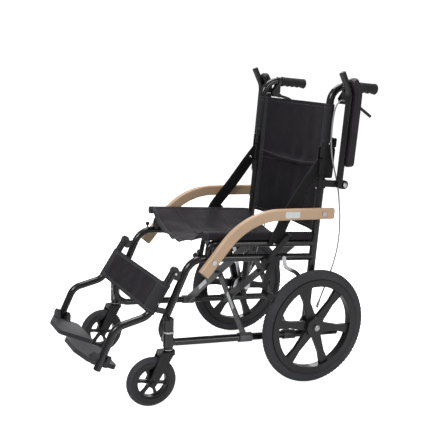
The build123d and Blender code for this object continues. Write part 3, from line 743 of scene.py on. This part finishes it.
def finished(piece: Piece, finish: Finish, body: str, *nodes: str) -> Piece:
    """Puts a piece on the body that it rides on and hides the nodes that it stands for.

    Args:
        piece: the new piece.
        finish: its finish; not used.
        body: the body that carries it, or "" for none.
        nodes: the nodes it replaces.

    Returns:
        The same piece.
    """
    if body:
        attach(piece, body)
    if nodes:
        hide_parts(*nodes)
    LOG.info("%s: %d points, rides on %s", piece.name, len(piece.data.vertices), body or "two bodies")
    return piece


# ---- Metal and moulded parts that keep their shape ----
@dataclass
class HardParts:
    """The frame, wheels, levers and brackets, which only need their finish."""

    nodes: dict[str, Piece]

    def dress(self) -> None:
        """Gives every node its finish, by the name before its side."""
        finishes = {stem: finish for finish, stems in DRESS.items() for stem in stems.split()}
        for name, node in self.nodes.items():
            stem = name.rsplit("_", 1)[0] if name.endswith(("_left", "_right", "_a", "_b")) else name
            finish = finishes.get(stem)
            if finish is None:
                continue
            if not node.material_slots:
                node.data.materials.append(finish.material())
            for place in node.material_slots:
                place.material = finish.material()
            LOG.info("%s: %s", name, finish.name)


@dataclass
class SidePart:
    """Something that both sides have.

    Attributes:
        side: which side.
    """

    side: Side

    @property
    def tag(self) -> str:
        """The side's word."""
        return self.side.tag

    @property
    def frame(self) -> str:
        """The body of the side frame."""
        return f"frame_{self.tag}"

    def at(self, x: float, u: float, v: float) -> np.ndarray:
        """A place in the side frame, with x outwards from the middle of the chair."""
        return frame_place(self.side.value * x, u, v)

    def bolt(self, name: str, centre: Triple, axis: Triple, radius: float, body: str) -> None:
        """Builds a washer with a domed head and a hex socket, as one turned profile.

        Args:
            name: the piece's name, without its side.
            centre: middle of the washer's underside, in millimetres.
            axis: the way that the head faces.
            radius: of the washer.
            body: the body that it rides on.
        """
        r = radius
        profile = [
            (0.0, 0.0), (0.0, r), (0.6, r), (0.9, 0.95 * r), (0.9, 0.74 * r), (1.3, 0.74 * r),
            (0.24 * r + 1.1, 0.62 * r), (0.36 * r + 1.1, 0.42 * r), (0.37 * r + 1.0, 0.3 * r),
            (0.12 * r + 1.0, 0.27 * r), (0.12 * r + 1.0, 0.0),
        ]
        turned(f"{name}_{self.tag}", profile, centre, axis).fit(ZINC, body)


@dataclass
class Tyre:
    """A solid tyre with a ribbed tread.

    Attributes:
        middle: radius at which the round section is centred.
        section: radius of the section.
        lugs: tread blocks round the tyre.
        groove: depth of the tread.
        steps: points round the tyre.
    """

    middle: float
    section: float
    lugs: int
    groove: float
    steps: int

    def surface(self, name: str, centre: Triple, axis: Triple) -> Surface:
        """A ring: radius = middle + section cos a, less grooves that are square waves.

        Args:
            name: the piece's name.
            centre: the wheel's centre, in millimetres.
            axis: the wheel's axis.

        Returns:
            The ring.
        """
        turn = np.linspace(0.0, math.tau, self.steps, endpoint=False)[:, None]
        up, ring = round_about(axis, turn)
        a = np.linspace(-math.pi, math.pi, 56, endpoint=False)[None]
        across = np.abs(a)
        rib = (np.abs(across - 0.30) < 0.055) | (np.abs(across - 0.72) < 0.05)
        lug = (np.sin(turn * self.lugs + np.sign(a) * 1.2) > 0.55) & (across > 0.36) & (across < 1.05)
        bead = 0.7 * bell(across, 1.9, 0.12) * (across > 1.2)
        r = self.section - self.groove * (rib | lug) + bead
        out = (self.middle + r * np.cos(a))[..., None]
        high = (r * np.sin(a))[..., None]
        return Surface(name, np.array(centre) + out * ring + high * up, round_rows=True)


@dataclass
class Wheels(SidePart):
    """Tyres and hub hardware of one side.

    Attributes:
        rear_x: middle of the rear wheel.
        hub_x: outer end of its hub.
        head: x and y of the swivel head, y from the axle.
        caster_z: height of the front wheel's centre.
        trail: how far the front wheel lies before its stem.
        yaw: how far the front wheel is turned.
    """

    rear_x: float = 249.0
    hub_x: float = 272.2
    head: Pair = (229.0, -474.0)
    caster_z: float = 73.0
    trail: float = 49.0
    yaw: float = math.radians(4.0)

    def build(self) -> None:
        """Builds the tyres, rim flanges, stem rings, axle bolts and hub cap."""
        g, tag = self.side.value, self.tag
        rear = Tyre(162.0, 16.0, 84, 1.1, 504).surface(
            f"rear_tyre_{tag}_tread", (g * self.rear_x, AXLE_Y, WHEEL_R), (1, 0, 0)
        )
        rear.fit(TYRE_GREY, f"rear_wheel_{tag}", f"rear_tyre_{tag}")
        x = g * (self.head[0] - self.trail * math.sin(self.yaw))
        y = self.head[1] - self.trail * math.cos(self.yaw)
        axis = np.array([math.cos(self.yaw), -g * math.sin(self.yaw), 0.0])
        centre, out = np.array([x, AXLE_Y + y, self.caster_z]), axis * g
        wheel, fork = f"caster_wheel_{tag}", f"caster_fork_{tag}"
        caster = Tyre(60.0, 13.0, 60, 0.5, 300).surface(f"caster_tyre_{tag}_tread", centre, axis)
        caster.fit(TYRE_GREY, wheel, f"caster_tyre_{tag}")
        flange = [
            (11.0, 47.0), (12.9, 47.5), (13.5, 50.0), (13.8, 57.0), (13.0, 61.5), (11.6, 62.6), (10.5, 60.0),
        ]
        for face, way in (("out", out), ("in", -out)):
            rim = turned(f"rim_flange_{face}_{tag}", flange, centre, way, 96)
            rim.round_rows = True
            rim.fit(WHEEL_BLACK, wheel)
        self.ring("stem_washer", 164.5, (8.3, 14.2), 3.0, fork)
        self.ring("head_ring", 216.0, (15.15, 15.9), 5.0, self.frame)
        for face, way in (("out", out), ("in", -out)):
            self.bolt(f"caster_bolt_{face}", centre + way * 20.4, way, 6.2, fork)
        self.bolt("hub_cap", (g * self.hub_x, AXLE_Y, WHEEL_R), (g, 0, 0), 8.0, self.frame)

    def ring(self, name: str, z: float, radii: Pair, height: float, body: str) -> None:
        """Builds a plated ring with softened edges on the swivel's axis.

        Args:
            name: the piece's name, without its side.
            z: height of its middle above the floor.
            radii: inner and outer radius.
            height: its height.
            body: the body that it rides on.
        """
        h, soft = height / 2, 0.5
        inner, outer = radii
        profile = [
            (-h, inner), (-h, outer - soft), (-h + soft, outer),
            (h - soft, outer), (h, outer - soft), (h, inner),
        ]
        centre = (self.side.value * self.head[0], AXLE_Y + self.head[1], z)
        surface = turned(f"{name}_{self.tag}", profile, centre, (0, 0, 1), 48)
        surface.round_rows = True
        surface.fit(ZINC, body)


# ---- Upholstery ----
@dataclass
class SeatCover:
    """The sling seat: sleeves round both seat rails and a sagging panel between them.

    Attributes:
        rail_x: half the distance between the rails.
        rail_v: height of the rails in the side frame.
        sleeve: radius of the cloth round a rail.
        slope: angle of the panel where it leaves a rail.
        front: front edge.
        rear: rear edge.
        channels: places of the stitched cross lines.
    """

    rail_x: float = 203.0
    rail_v: float = 273.8
    sleeve: float = 12.5
    slope: float = math.radians(27.0)
    front: float = -384.0
    rear: float = -17.0
    channels: Pair = (-292.0, -150.0)

    def half(self) -> tuple[np.ndarray, np.ndarray]:
        """Half of the cross-section, from under the rail to the middle.

        The sleeve is x = rail + r cos a, v = rail + r sin a; the panel is a parabola from there.

        Returns:
            x and v of the section.
        """
        a = np.linspace(math.radians(-60.0), math.pi / 2 + self.slope, 22)
        sleeve_x, sleeve_v = self.rail_x + self.sleeve * np.cos(a), self.rail_v + self.sleeve * np.sin(a)
        edge = sleeve_x[-1]
        x = np.linspace(edge, 0.0, 62)[1:]
        v = sleeve_v[-1] - math.tan(self.slope) * edge / 2 * (1.0 - (x / edge) ** 2)
        return np.concatenate([sleeve_x, x]), np.concatenate([sleeve_v, v])

    def surface(self) -> Surface:
        """Carries the section back along the rails, with a rippled hem and fanned creases."""
        half_x, half_v = self.half()
        x, base = mirrored(half_x, -1), mirrored(half_v)
        u = np.linspace(self.front, self.rear, 112)[:, None]
        inset = u - self.front
        loose = smooth_step(1.0 - np.abs(x) / 196.0, 0.0, 0.35)
        hem = 2.4 * np.sin(x / 13.0 + 1.7 * np.sin(x / 37.0)) * np.exp(-inset / 16.0)
        drop = -12.0 * np.exp(-inset / 26.0) * loose
        folds = 2.3 * creases(x * 0.7, u, 11, 120.0)
        fan = 2.0 * np.sin((np.abs(x) + 0.7 * inset) / 15.0) * bell(inset, 0.0, 90.0)
        channel = -1.8 * sum(bell(u, line, 4.0) for line in self.channels)
        lift = 3.0 * np.exp((u - self.rear) / 40.0)
        v = base + (hem + drop + folds + fan + channel + lift) * loose
        rows = [u - line for line in (self.front + 13.0, self.rear - 12.0, *self.channels)]
        band = 0.55 * smooth_step(15.0 - inset, 0.0, 1.0) * np.ones_like(x)
        seam = nearest(*rows, np.abs(x) - 186.0)
        return Surface("seat_cover", frame_place(x, u, v), round_cols=False, seam=seam, band=band)

    def build(self) -> None:
        """Builds the cover, which rides on no body."""
        surface = self.surface()
        piece = surface.sheet(UPHOLSTERY, 1.2)
        finished(piece, UPHOLSTERY, "", "seat_sling")
        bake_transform(piece)


@dataclass
class BackPanel:
    """One half of the back, stretched between the posts.

    Attributes:
        name: the piece's name.
        node: the node it stands for.
        body: the body that carries it.
        bottom: lower edge.
        top: upper edge.
        seed: picks its creases.
        flap: how far its lower edge hangs in front of the panel below.
        roll: how far that edge rolls forwards.
        kick: how far it stands forwards.
        bulge: how far the middle hangs rearwards.
        reach: half its width.
    """

    name: str
    node: str
    body: str
    bottom: float
    top: float
    seed: int
    flap: float = 0.0
    roll: float = 2.0
    kick: float = 0.0
    bulge: float = 24.0
    reach: float = 187.3

    def surface(self) -> Surface:
        """A grid in x and v whose depth is a parabola in x, with folds and rolled edges.

        It is narrower beside the hinges, between heights 452 and 552.

        Returns:
            The panel, one sheet.
        """
        s = np.linspace(-1.0, 1.0, 121)[None]
        t = np.linspace(0.0, 1.0, 96)[:, None]
        slack = 1.0 - s**2
        low = self.bottom - self.flap * slack
        v = low + (self.top - low) * t
        beside = smooth_step(v, 440.0, 456.0) * (1.0 - smooth_step(v, 548.0, 562.0))
        x = s * (self.reach - 4.2 * beside)
        folds = 2.6 * creases(x, v * 0.45, self.seed, 150.0) * slack**0.7
        fan = 1.6 * np.sin((np.abs(x) - 0.8 * (v - self.bottom)) / 17.0) * bell(t, 0.0, 1.0 / 3.0)
        edge = self.roll * bell(t, 0.035, 0.04) + self.kick * np.exp(-t * 14.0)
        u = (self.bulge + fan - edge) * slack + folds
        seam = nearest(self.top - 11.0 - v, v - low - 10.0, np.abs(x) - 171.0)
        band = smooth_step(np.abs(x), 172.0, 173.5)
        return Surface(self.name, frame_place(x, u, v), round_cols=False, seam=seam, band=band)

    def build(self) -> None:
        """Builds the panel on its body."""
        surface = self.surface()
        flat = (run_length(surface.points[48]), run_length(surface.points[:, 60]))
        piece = surface.sheet(UPHOLSTERY, 1.6)
        area = min(surface.area(), flat[0] * flat[1])
        finished(piece, UPHOLSTERY, self.body, self.node)
        place = frame_place(-self.reach, 0.0, (self.bottom + self.top) / 2) * MM
        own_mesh(piece)


@dataclass
class PostSleeve(SidePart):
    """Cloth sleeve that laces the upper back to one post.

    Attributes:
        low: lower end.
        high: upper end.
    """

    low: float = 560.0
    high: float = 676.0

    def surface(self) -> Surface:
        """A loop round the post: r = 13.5, lobes that fade in with height, a ridge and creases."""
        v = np.linspace(self.low, self.high, 60)[:, None]
        a = np.linspace(0.0, math.tau, 56, endpoint=False)[None]
        lobes = 1.2 * smooth_step(v, self.low, self.high) * np.cos(a) ** 2
        ridge = 1.9 * bell(a, 1.45 * math.pi, 0.5)
        r = 13.5 + lobes + 0.5 * creases(a * 20.0, v, 5, 60.0) + ridge
        seam = nearest(v - self.low - 9.0, self.high - 9.0 - v, 1e3 + 0 * a)
        band = 0.35 + 0.65 * smooth_step(-np.cos(a - 0.35 * math.pi), 0.2, 0.7) + 0 * v
        points = self.at(HALF_TRACK + r * np.cos(a), r * np.sin(a), v)
        return Surface(f"post_sleeve_{self.tag}", points, seam=seam, band=band)

    def build(self) -> None:
        """Builds the sleeve on its handle tube."""
        surface = self.surface()
        piece = surface.sheet(UPHOLSTERY, 1.1)
        f"handle_tube_{self.tag}"
        finished(piece, UPHOLSTERY, f"back_upper_{self.tag}")


@dataclass
class CalfStrap:
    """The calf strap: a cloth band that goes round both legrest tubes.

    Attributes:
        tube_x: half the distance between the tubes.
        top: y and z of the tubes' upper bend, from the axle and the floor.
        knee: y and z of their lower bend.
        share: how far down the strap's middle lies between them.
        height: the strap's height.
        sleeve: radius of the cloth round a tube.
        cut: column at which a sleeve ends and the front begins.
    """

    tube_x: float = 205.0
    top: Pair = (-450.0, 384.0)
    knee: Pair = (-529.0, 260.0)
    share: float = 0.6
    height: float = 96.0
    sleeve: float = 12.6
    cut: int = 37

    def surface(self) -> Surface:
        """Carries a section down the tubes: a near-flat front, sleeves and short returns."""
        leg = np.array(self.knee) - np.array(self.top)
        down = unit(leg)
        out = np.array([down[1], -down[0]])
        middle = np.array(self.top) + leg * self.share
        a = np.linspace(-math.pi / 2, math.pi / 2, 22)
        back = np.linspace(self.tube_x - 52.0, self.tube_x, 12)[:-1]
        front = np.linspace(self.tube_x, 0.0, 50)[1:]
        arc = self.sleeve * np.sin(a)
        x = mirrored(np.concatenate([back, self.tube_x + self.sleeve * np.cos(a), front]), -1)
        n = mirrored(np.concatenate([np.full(11, -self.sleeve), arc, np.full(49, self.sleeve)]))
        w = np.linspace(-self.height / 2, self.height / 2, 54)[:, None]
        free = smooth_step(1.0 - np.abs(x) / 190.0, 0.0, 0.3) * (n > 0)
        sag = -5.0 * (1.0 - (x / self.tube_x) ** 2)
        ripple = 1.2 * np.sin(x / 21.0) * bell(np.abs(w), self.height / 2, 10.0)
        n = n + (sag + 1.6 * creases(x, w, 21, 110.0) + ripple) * free
        y = AXLE_Y + middle[0] + down[0] * w + out[0] * n
        z = middle[1] + down[1] * w + out[1] * n
        seam = nearest(self.height / 2 - 9.0 - np.abs(w), np.abs(x) - 176.0)
        band = 0.8 * np.maximum(smooth_step(np.abs(w), 39.5, 41.0), smooth_step(np.abs(x), 177.0, 178.5))
        points = np.stack([x + 0 * w, y, z], axis=-1)
        return Surface("calf_strap", points, round_cols=False, seam=seam, band=band)

    def build(self) -> None:
        """Builds the strap's front and its two sleeves."""
        whole = self.surface()
        last = whole.points.shape[1] - 1
        for name, side, first, end in (
            ("calf_strap_left", "left", 0, self.cut),
            ("calf_strap", "right", self.cut, last - self.cut),
            ("calf_strap_right", "right", last - self.cut, last),
        ):
            chosen = np.s_[:, first : end + 1]
            part = Surface(name, whole.points[chosen], False, False, whole.seam[chosen], whole.band[chosen])
            piece = part.sheet(UPHOLSTERY, 1.4)
            middle = name == "calf_strap"
            finished(piece, UPHOLSTERY, f"frame_{side}", *(["calf_pad"] if middle else []))
            if middle:
                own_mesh(piece)


@dataclass
class LapBelt(SidePart):
    """One end of the lap belt, from the back post down to the seat.

    Attributes:
        width: width of the webbing.
        start: u and v of its upper end.
        end: u and v of its lower end.
    """

    width: float = 38.0
    start: Pair = (-20.0, 478.0)
    end: Pair = (-151.0, 244.0)

    def surface(self) -> Surface:
        """A strip on a spline that passes outside the seat rail; it is narrower at the post."""
        route = np.array([
            [199.0, *self.start], [199.5, -50, 432], [203.0, -90, 370], [211.0, -120, 324],
            [219.5, -136, 296], [220.0, -146, 276], [216.5, -150, 258], [215.0, *self.end],
        ])
        line = spline_points(route, 84)
        across = unit(np.cross(unit(np.gradient(line, axis=0)), np.array([1.0, 0.0, 0.0])))
        s = np.linspace(0.0, 1.0, 84)[:, None]
        w = np.linspace(-0.5, 0.5, 15)[None]
        wide = self.width * (0.86 + 0.14 * smooth_step(s, 0.0, 0.18))
        x, u, v = np.moveaxis(line[:, None] + across[:, None] * (w * wide)[..., None], -1, 0)
        length = run_length(line) / MM
        seam = nearest(np.abs(w) * wide - 15.5, s * length - 16.0, (1 - s) * length - 9.0)
        band = 0.25 * smooth_step(np.abs(w) + 0 * s, 0.44, 0.47)
        return Surface(f"lap_belt_{self.tag}", self.at(x, u, v), round_cols=False, seam=seam, band=band)

    def build(self) -> None:
        """Builds the webbing and the bolts that hold its ends."""
        g = self.side.value
        surface = self.surface()
        piece = surface.sheet(WEBBING, 1.9)
        f"back_post_{self.tag}"
        finished(piece, WEBBING, self.frame, f"belt_{self.tag}")
        axis = unit(self.at(0.0, *self.end) - self.at(0.0, *self.start))
        anchor = self.at(HALF_TRACK - 3.0, *self.start) * MM
        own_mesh(piece)
        self.bolt("belt_foot_bolt", self.at(216.2, -150.0, 252.0), (g, 0, 0), 4.5, self.frame)
        self.bolt("belt_bolt", self.at(HALF_TRACK - 4.1, -27.0, 468.0), (-g, 0, 0), 5.0, self.frame)


# ---- Rubber and padded parts ----
@dataclass
class HandGrip(SidePart):
    """Rubber grip with finger hollows underneath and rings round it.

    Attributes:
        start: front end.
        end: closed rear end.
        height: height of the handle in the side frame.
        radius: largest radius.
        bore: radius of the handle tube, with clearance.
    """

    start: float = 64.0
    end: float = 161.5
    height: float = 732.0
    radius: float = 15.9
    bore: float = 11.7

    def surface(self) -> Surface:
        """A turned sleeve whose underside is scooped by sin^2 hollows between ridges."""
        end, radius = self.end, self.radius
        u = np.linspace(self.start + 2.0, end - 3.5, 110)
        t = (u - u[0]) / (u[-1] - u[0])
        body = radius - 1.2 + 1.2 * bell(t, 0.0, 0.05) + 1.1 * bell(t, 1.0, 0.05)
        head = np.array([
            (end - 2.8, 0.0), (end - 2.8, self.bore), (self.start, self.bore),
            (self.start, radius - 1.6), (self.start + 0.8, radius - 0.4),
        ])
        tail = np.array([
            (end - 1.8, radius - 0.5), (end - 0.6, radius - 2.0), (end, radius - 5.0), (end, 0.0),
        ])
        along, r = np.concatenate([head, np.stack([u, body], axis=1), tail]).T[..., None]
        rows = (len(head), len(tail))
        inside = np.pad(np.ones(len(u)), rows)[:, None]
        where = np.pad(t, rows, constant_values=(0.0, 1.0))[:, None]
        a = np.linspace(0.0, math.tau, 64, endpoint=False)[None]
        under = np.clip(-np.sin(a), 0.0, 1.0) ** 1.3
        hollow = 2.6 * np.sin(math.pi * np.clip((where - 0.08) / 0.84, 0, 1) * 4.0) ** 2 * under
        rings = 0.35 * np.sin(where * 150.0) * np.clip(np.sin(a), 0.0, 1.0) ** 0.5
        flutes = 0.3 * np.cos(a * 20.0) * np.cos(a) ** 2
        r = r + inside * (1.0 - hollow + rings + flutes)
        x = self.side.value * HALF_TRACK + r * np.cos(a)
        points = frame_place(x, along, self.height + r * np.sin(a))
        return Surface(f"grip_{self.tag}", points)

    def build(self) -> None:
        """Builds the grip in place of its node."""
        self.surface().fit(GRIP_BLACK, f"back_upper_{self.tag}", f"hand_grip_{self.tag}")


@dataclass
class ArmPad(SidePart):
    """Vinyl-covered arm pad behind its tube, rounded over at the top.

    Attributes:
        width: across the chair.
        depth: front to back.
    """

    width: float = 45.0
    depth: float = 28.0

    def surface(self) -> Surface:
        """Carries a superellipse up a curved line; its size is a dome at both ends and swells between."""
        route = np.array([
            [46.8, 517.0], [46.8, 560.0], [46.8, 640.0], [46.8, 690.0], [46.0, 722.0], [31.0, 744.0],
            [15.0, 762.0],
        ])
        u, v = spline_points(route, 90).T
        t = np.linspace(0.0, 1.0, 90)[:, None]
        ends = 0.12 + 0.88 * np.minimum(dome(t / 0.045), dome((1 - t) / 0.07))
        size = ends * (1.0 + 0.02 * np.sin(math.pi * t))
        angle = np.linspace(0.0, math.tau, 72, endpoint=False)[None]
        welt = 0.024 * bell(np.sin(angle), 0.0, 0.05)
        dimple = 0.0042 * creases(np.cos(angle) * 30.0, t * 250.0, 31, 70.0)
        shape = soft_square(self.width, self.depth, 2.7, 72) * (size * (1.0 - welt + dimple))[..., None]
        return carried(f"arm_pad_{self.tag}", self.at(ARMREST_X, u, v), shape, (1, 0, 0))

    def build(self) -> None:
        """Builds the pad and the cap of the armrest's pivot."""
        piece = self.surface().solid(PAD_VINYL)
        finished(piece, PAD_VINYL, f"armrest_{self.tag}", f"armrest_pad_{self.tag}")
        self.bolt("arm_pivot", self.at(274.6, 38.0, 443.5), (self.side.value, 0, 0), 7.5, self.frame)


@dataclass
class BrakeCable(SidePart):
    """Brake cable from the hand lever to the drum.

    Attributes:
        radius: of the casing.
        ferrule: diameter of the plated end at the drum.
    """

    radius: float = 2.3
    ferrule: float = 7.4

    def line(self) -> np.ndarray:
        """The cable's line, from control points with y from the axle and z from the floor."""
        points = [
            (214.0, 88, 863), (219.5, 81, 864), (221, 68, 862), (221.5, 54, 845), (221.5, 47, 800),
            (221, 46, 745), (222, 52, 695), (221, 66, 650), (222, 80, 605), (223, 88, 555), (224, 94, 500),
            (223, 95, 445), (223, 87, 390), (222, 71, 335), (221, 51, 285), (221, 33, 240), (221, 25, 211),
        ]
        route = np.array(points) * np.array([self.side.value, 1, 1]) + np.array([0, AXLE_Y, 0])
        return spline_points(route, 170)

    def build(self) -> None:
        """Builds the casing and the plated ferrule at the drum."""
        tag, g, line, level = self.tag, self.side.value, self.line(), (1.0, 0.0, 0.15)
        casing = soft_square(2 * self.radius, 2 * self.radius, 2.0, 12)
        piece = carried(f"cable_{tag}", line, casing, level).fit(CABLE_GREY, "", f"brake_cable_{tag}")
        self.frame
        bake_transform(piece)
        collar = soft_square(self.ferrule, self.ferrule, 2.0, 20)
        carried(f"cable_ferrule_{tag}", line[-8:], collar, level).fit(ZINC, self.frame)


# ---- Small hardware and labels ----
@dataclass
class Trim(SidePart):
    """Arc end caps, blank labels, knobs and screws of one side.

    Attributes:
        nodes: the frame's nodes, to lay labels on.
    """

    nodes: dict[str, Piece]

    def arc_cap(self, name: str, place: Pair, facing: Pair) -> None:
        """Builds a dark domed cap on an end of the arc.

        Args:
            name: the piece's name, without its side.
            place: y and z of the end.
            facing: the way that the end faces.
        """
        out, right = unit(np.array([0.0, *facing])), np.array([1.0, 0.0, 0.0])
        base = (self.side.value * 228.0, AXLE_Y + place[0], place[1])
        rows = [(0.05, 0.0), (0.05, 0.97), (1.2, 0.97), (2.0, 0.86), (2.4, 0.4), (2.4, 0.0)]
        ring = soft_square(18.4, 33.0, 4.5, 48) @ np.stack([right, np.cross(out, right)])
        stacked(f"{name}_{self.tag}", base, out, ring, rows).fit(BLACK_MOULDING, self.frame)

    def label(
        self, name: str, node: str, body: str, eye: Triple, look: Triple, size: Pair,
        along: Triple,
    ) -> None:
        """Lays a blank label on a node where a line of sight meets it.

        Args:
            name: the piece's name.
            node: the node that it is stuck on.
            body: the body that carries it.
            eye: where the line starts, in millimetres.
            look: its direction.
            size: length and width.
            along: direction of the length.
        """
        source = self.nodes[node].data
        faces = [face.vertices[:] for face in source.polygons]
        tree = BVHTree.FromPolygons([vertex.co[:] for vertex in source.vertices], faces)
        hit, normal, _, _ = tree.ray_cast(Vector(eye) * MM, Vector(look).normalized())
        if hit is None:
            LOG.warning("%s: nothing to lie on", name)
            return
        normal = normal if normal.dot(Vector(look)) < 0 else -normal
        long = (Vector(along) - normal * Vector(along).dot(normal)).normalized()
        ring = soft_square(*size, 9.0, 72) @ np.array([long, normal.cross(long)])
        rows = [(0.08, 0.0), (0.08, 1.0), (0.4, 0.995), (0.45, 0.0)]
        piece = stacked(name, np.array(hit) / MM, normal, ring, rows).fit(LABEL_WHITE, body)
        faces = piece.data.polygons
        faces.foreach_set("use_smooth", np.zeros(len(faces), dtype=bool))

    def knob(self, name: str, centre: Triple, axis: Triple, radius: float, body: str) -> None:
        """Builds a ball knob with a short neck."""
        a = np.linspace(-1.15, math.pi / 2, 16)
        ball = zip(radius * (1.0 + np.sin(a)) + 0.5, radius * np.cos(a))
        profile = [(-4.0, 0.0), (-4.0, 0.42 * radius), *ball]
        profile[-1] = (profile[-1][0], 0.0)
        turned(f"{name}_{self.tag}", profile, centre, axis, 32).fit(BLACK_MOULDING, body)

    def plug(self, name: str, place: np.ndarray, axis: Triple, radius: float, body: str) -> None:
        """Builds a low domed plug on the end of a tube."""
        profile = [
            (0.05, 0.0), (0.05, radius - 0.2), (1.2, radius - 0.4), (2.2, 0.8 * radius),
            (2.7, 0.3 * radius), (2.75, 0.0),
        ]
        turned(f"{name}_{self.tag}", profile, place, axis, 32).fit(BLACK_MOULDING, body)

    def build(self) -> None:
        """Builds the side's trim."""
        g, tag, frame = self.side.value, self.tag, self.frame
        self.arc_cap("arc_front_cap", (-369.0, 370.0), (-0.647, -0.763))
        self.arc_cap("arc_rear_cap", (62.0, 524.0), (0.9994, -0.034))
        eye = (g * 400, AXLE_Y - 85, 529)
        self.label(f"arc_label_{tag}", f"side_arc_{tag}", frame, eye, (-g, 0, 0), (50, 19), (0, 1, -0.034))
        self.knob("seat_knob", (g * 202, AXLE_Y - 372, 427), (0, 0, 1), 6.5, frame)
        self.knob("lock_knob", (g * 229.6, AXLE_Y - 94.5, 462), (0, 0.68, 0.73), 8.0, f"lock_lever_{tag}")
        up = np.array([0.0, math.sin(TILT), math.cos(TILT)])
        back = np.array([0.0, math.cos(TILT), -math.sin(TILT)])
        tip = unit(np.array([-34.0, 56.0])) @ np.stack([back, up])
        rail_body = "brace_a" if g > 0 else "brace_b"
        self.plug("arm_tip_plug", self.at(ARMREST_X, -9.0, 768.0), tip, 10.0, f"armrest_{tag}")
        self.plug("seat_rail_plug", self.at(203.0, -381.0, 273.8), -back, 11.0, rail_body)
        self.plug("leg_plug", (g * 205.0, AXLE_Y - 676.0, 124.0), (0.0, -52.0, -114.0), 11.0, frame)
        for label, x, y, z, axis, radius in (
            ("leg_bolt_high", 216.05, -448.0, 377.0, (g, 0, 0), 4.2),
            ("leg_bolt_low", 216.05, -500.0, 297.0, (g, 0, 0), 4.2),
            ("post_screw_high", HALF_TRACK, 15.2, 600.0, (0, -1, 0.07), 3.6),
            ("post_screw_low", HALF_TRACK, 9.0, 512.0, (0, -1, 0.07), 3.6),
        ):
            self.bolt(label, (g * x, AXLE_Y + y, z), axis, radius, frame)


# ---- Studio ----
@dataclass
class Studio:
    """Camera, pale floor and soft light.

    Attributes:
        place: the camera's place, in metres.
        azimuth: its direction round the chair, in degrees.
        elevation: its height above the horizon, in degrees.
        roll: its lean, in degrees.
        lens: its focal length, in millimetres.
        floor_r: radius of the floor, in millimetres.
    """

    place: tuple[float, float, float] = (2.15711, -1.04139, 0.97477)
    azimuth: float = 63.57
    elevation: float = 11.33
    roll: float = 1.69
    lens: float = 65.28
    floor_r: float = 9000.0

    def camera(self) -> None:
        """Aims the camera: its back axis is (sin a cos e, -cos a cos e, sin e); it rolls about that."""
        a, e, r = (math.radians(d) for d in (self.azimuth, self.elevation, self.roll))
        back = Vector((math.sin(a) * math.cos(e), -math.cos(a) * math.cos(e), math.sin(e)))
        right = Vector((0, 0, 1)).cross(back).normalized()
        up = back.cross(right)
        right, up = math.cos(r) * right + math.sin(r) * up, -math.sin(r) * right + math.cos(r) * up
        data = bpy.data.cameras.new("camera")
        data.lens, data.sensor_width = self.lens, 36.0
        camera = bpy.data.objects.new("camera", data)
        turn = Matrix((right, up, back)).transposed().to_4x4()
        camera.matrix_world = Matrix.Translation(self.place) @ turn
        bpy.context.scene.collection.objects.link(camera)
        bpy.context.scene.camera = camera

    def floor(self) -> None:
        """Lays a pale floor, a round disc that the camera sees nearly white."""
        rim = [(-2.0, 0.0), (-2.0, self.floor_r), (-0.6, self.floor_r), (-0.6, 0.0)]
        disc = turned("floor", rim, (0, 0, 0), (0, 0, 1), 96).solid(FLOOR)
        tree = disc.material_slots[0].material.node_tree
        shader = tree.nodes["Principled BSDF"]
        shader.inputs["Emission Color"].default_value = (1.0, 1.0, 1.0, 1.0)
        Graph(tree).glow(0.8, 0.05, shader.inputs["Emission Strength"])

    def light(self, name: str, place: Triple, aim_z: float, size: float, power: float) -> None:
        """Hangs a square soft light.

        Args:
            name: the light's name.
            place: where it hangs, in metres.
            aim_z: height of the point over the origin that it faces.
            size: its side.
            power: in watts.
        """
        data = bpy.data.lights.new(name, "AREA")
        data.size, data.energy = size, power
        lamp = bpy.data.objects.new(name, data)
        lamp.location = place
        lamp.rotation_mode = "QUATERNION"
        aim = Vector((0, 0, aim_z)) - Vector(place)
        lamp.rotation_quaternion = aim.to_track_quat("-Z", "Y")
        bpy.context.scene.collection.objects.link(lamp)

    def build(self) -> None:
        """Sets up the camera, the floor, the lights and a pale surround."""
        self.camera()
        self.floor()
        self.light("key", (1.8, -2.6, 2.9), 0.4, 1.2, 62)
        self.light("fill", (3.2, 1.6, 1.6), 0.4, 1.2, 20)
        self.light("top", (-0.4, 0.2, 3.2), 0.3, 1.6, 60)
        self.light("back", (-2.6, 1.6, 1.8), 0.5, 1.2, 26)
        world = bpy.data.worlds.new("surround")
        world.use_nodes = True
        ground = world.node_tree.nodes["Background"]
        ground.inputs[0].default_value = (1.0, 1.0, 1.0, 1.0)
        Graph(world.node_tree).glow(0.78, 0.27, ground.inputs[1])
        bpy.context.scene.world = world
        bpy.context.scene.view_settings.view_transform = "Standard"


def main() -> None:
    """Builds the studio and the chair's pieces in order."""
    logging.basicConfig(level=logging.INFO, format="%(name)s: %(message)s")
    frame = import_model()
    nodes = frame["nodes"]
    Studio().build()
    HardParts(nodes).dress()
    SeatCover().build()
    BackPanel("back_lower_panel", "backrest_lower", "frame_right", 286.0, 484.5, 3).build()
    BackPanel(
        "back_upper_panel", "backrest_upper", "back_upper_right", 489.0, 676.5, 7,
        flap=14.0, roll=7.0, kick=4.5,
    ).build()
    CalfStrap().build()
    for side in Side:
        for part in (Wheels, PostSleeve, LapBelt, HandGrip, ArmPad, BrakeCable):
            part(side).build()
        Trim(side, nodes).build()
    trim = Trim(Side.LEFT, nodes)
    for half, sign in (("brace_a", 1), ("brace_b", -1)):
        name = half.replace("brace", "brace_label")
        trim.label(name, half, half, (sign * -95, -400, 238), (0, 1, 0), (62, 15), (sign * 0.803, 0, 0.596))


if __name__ == "__main__":
    main()
